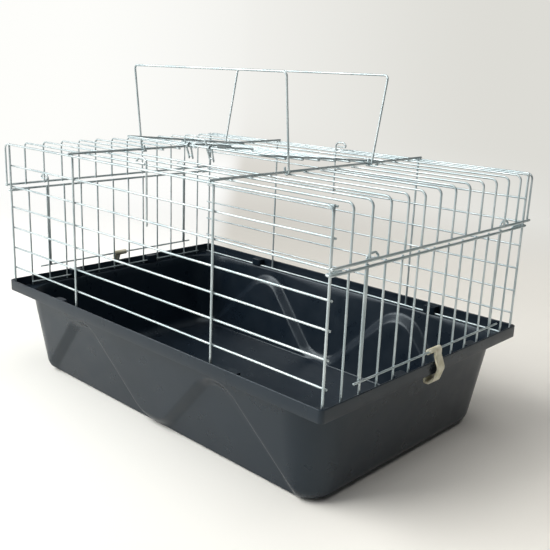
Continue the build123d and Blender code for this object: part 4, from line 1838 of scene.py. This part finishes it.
@dataclass(frozen=True)
class Studio:
    """Pale cove, soft light and the camera."""

    camera_place: Point = (0.7073, -0.7155, 0.4413)
    look: Point = (-0.671613, 0.692764, -0.262703)
    roll: float = math.radians(1.97)
    lens: float = 50.91
    shift: float = 0.0345
    cove_front: float = 8.0
    cove_back: float = 3.6
    cove_bend: float = 0.5
    cove_width: float = 8.0
    cove_height: float = 1.0
    bend_points: int = 13
    sky: Tone = (247, 250, 253)
    bright_side: Point = (-0.70, -0.68, 0.15)
    sky_low: float = 0.04
    sky_high: float = 0.70
    sky_seen: float = 0.78
    lamps: tuple[Lamp, ...] = (
        Lamp("key", (-1.40, -1.75, 1.90), 102.0, 2.4, 2.0, (255, 254, 251)),
        Lamp("top", (0.45, 0.1, 2.2), 20.0, 2.0, 2.0, (253, 251, 248)),
    )

    def _cove(self) -> None:
        """Floor that bends up into a backdrop behind the cage."""
        away = Vector((*self.look[:2], 0)).normalized()
        across = Vector((away.y, -away.x, 0))
        back, bend = self.cove_back, self.cove_bend
        turns = np.linspace(-math.pi / 2, 0, self.bend_points)
        profile = [(-self.cove_front, 0.0)]
        profile += [(back + bend * math.cos(a), bend * (1 + math.sin(a))) for a in turns]
        profile.append((back + bend, self.cove_height))
        shape = bmesh.new()
        rows = []
        for end in (-self.cove_width, self.cove_width):
            places = [away * out + across * end + Vector((0, 0, z)) for out, z in profile]
            rows.append([shape.verts.new(place) for place in places])
        for i in range(len(profile) - 1):
            shape.faces.new((rows[0][i], rows[0][i + 1], rows[1][i + 1], rows[1][i]))
        stand(smooth_mesh(shape, "cove", StageFinish().build(across)))

    def _sky(self) -> None:
        """Pale light from all round, strongest on the side that the key lamp stands on."""
        world = bpy.data.worlds.new("soft room")
        bpy.context.scene.world = world
        world.use_nodes = True
        build = NodeBuilder(world.node_tree)
        toward = build.add("ShaderNodeTexCoord").outputs["Generated"]
        turned = build.along(toward, Vector(self.bright_side).normalized())
        level = build.slide(turned, (0.0, 1.0), self.sky_low, self.sky_high)
        ray = build.add("ShaderNodeLightPath").outputs["Is Camera Ray"]
        strength = build.add("ShaderNodeMix", {0: ray, 2: level, 3: self.sky_seen}).outputs[0]
        build.feed(world.node_tree.nodes["Background"], {"Color": linear(self.sky), "Strength": strength})

    def _camera(self) -> None:
        """Stand the camera where the photograph was taken from."""
        data = bpy.data.cameras.new("camera")
        data.lens = self.lens
        data.shift_x = self.shift
        camera = bpy.data.objects.new("camera", data)
        camera.location = self.camera_place
        turn = Vector(self.look).to_track_quat("-Z", "Y").to_matrix() @ Matrix.Rotation(self.roll, 3, "Z")
        camera.rotation_euler = turn.to_euler()
        bpy.context.scene.collection.objects.link(camera)
        bpy.context.scene.camera = camera

    def build(self) -> None:
        """Set up the stage, the light and the camera."""
        bpy.context.scene.view_settings.view_transform = "Standard"
        self._cove()
        self._sky()
        for lamp in self.lamps:
            lamp.hang()
        self._camera()


class Cage:
    """The whole cage, dressed piece by piece."""

    def __init__(self, frame: dict) -> None:
        """Read the place of each joint from the frame."""
        self.joints = {joint["name"]: Vector(joint["pos_m"]) for joint in frame["joints"]}

    def dress(self, effects: SurfaceEffects) -> None:
        """Dress every sub-assembly.

        Args:
            effects: the shared node groups.
        """
        drawer = WireDrawer(ZincFinish().build(effects))
        tray = Tray()
        tray.dress(TrayFinish().build(effects))
        welds: Path = []
        for side in Side:
            welds += SidePanel(side).dress(drawer)
        for end in End:
            welds += EndPanel(end).dress(drawer)
        roof = Roof()
        welds += roof.dress(drawer)
        drawer.weld("cage_welds", "cage", welds)
        lid = Lid(self.joints["lid_hinge"], self.joints["latch_hinge"])
        drawer.weld("lid_welds", "lid", lid.dress(drawer))
        Latch(self.joints["latch_hinge"], roof).dress(drawer)
        for side in Side:
            Bail(side, self.joints[side.node("bail_hinge")]).dress(drawer)
        clip_plastic = ClipFinish().build(effects)
        for end in End:
            Clip(end, tray.rim_height).dress(clip_plastic)


def main() -> None:
    """Dress the cage and light it."""
    logging.basicConfig(level=logging.INFO, format="%(message)s")
    for leftover in list(bpy.data.objects):
        bpy.data.objects.remove(leftover)
    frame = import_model()
    Cage(frame).dress(SurfaceEffects())
    Studio().build()


if __name__ == "__main__":
    main()
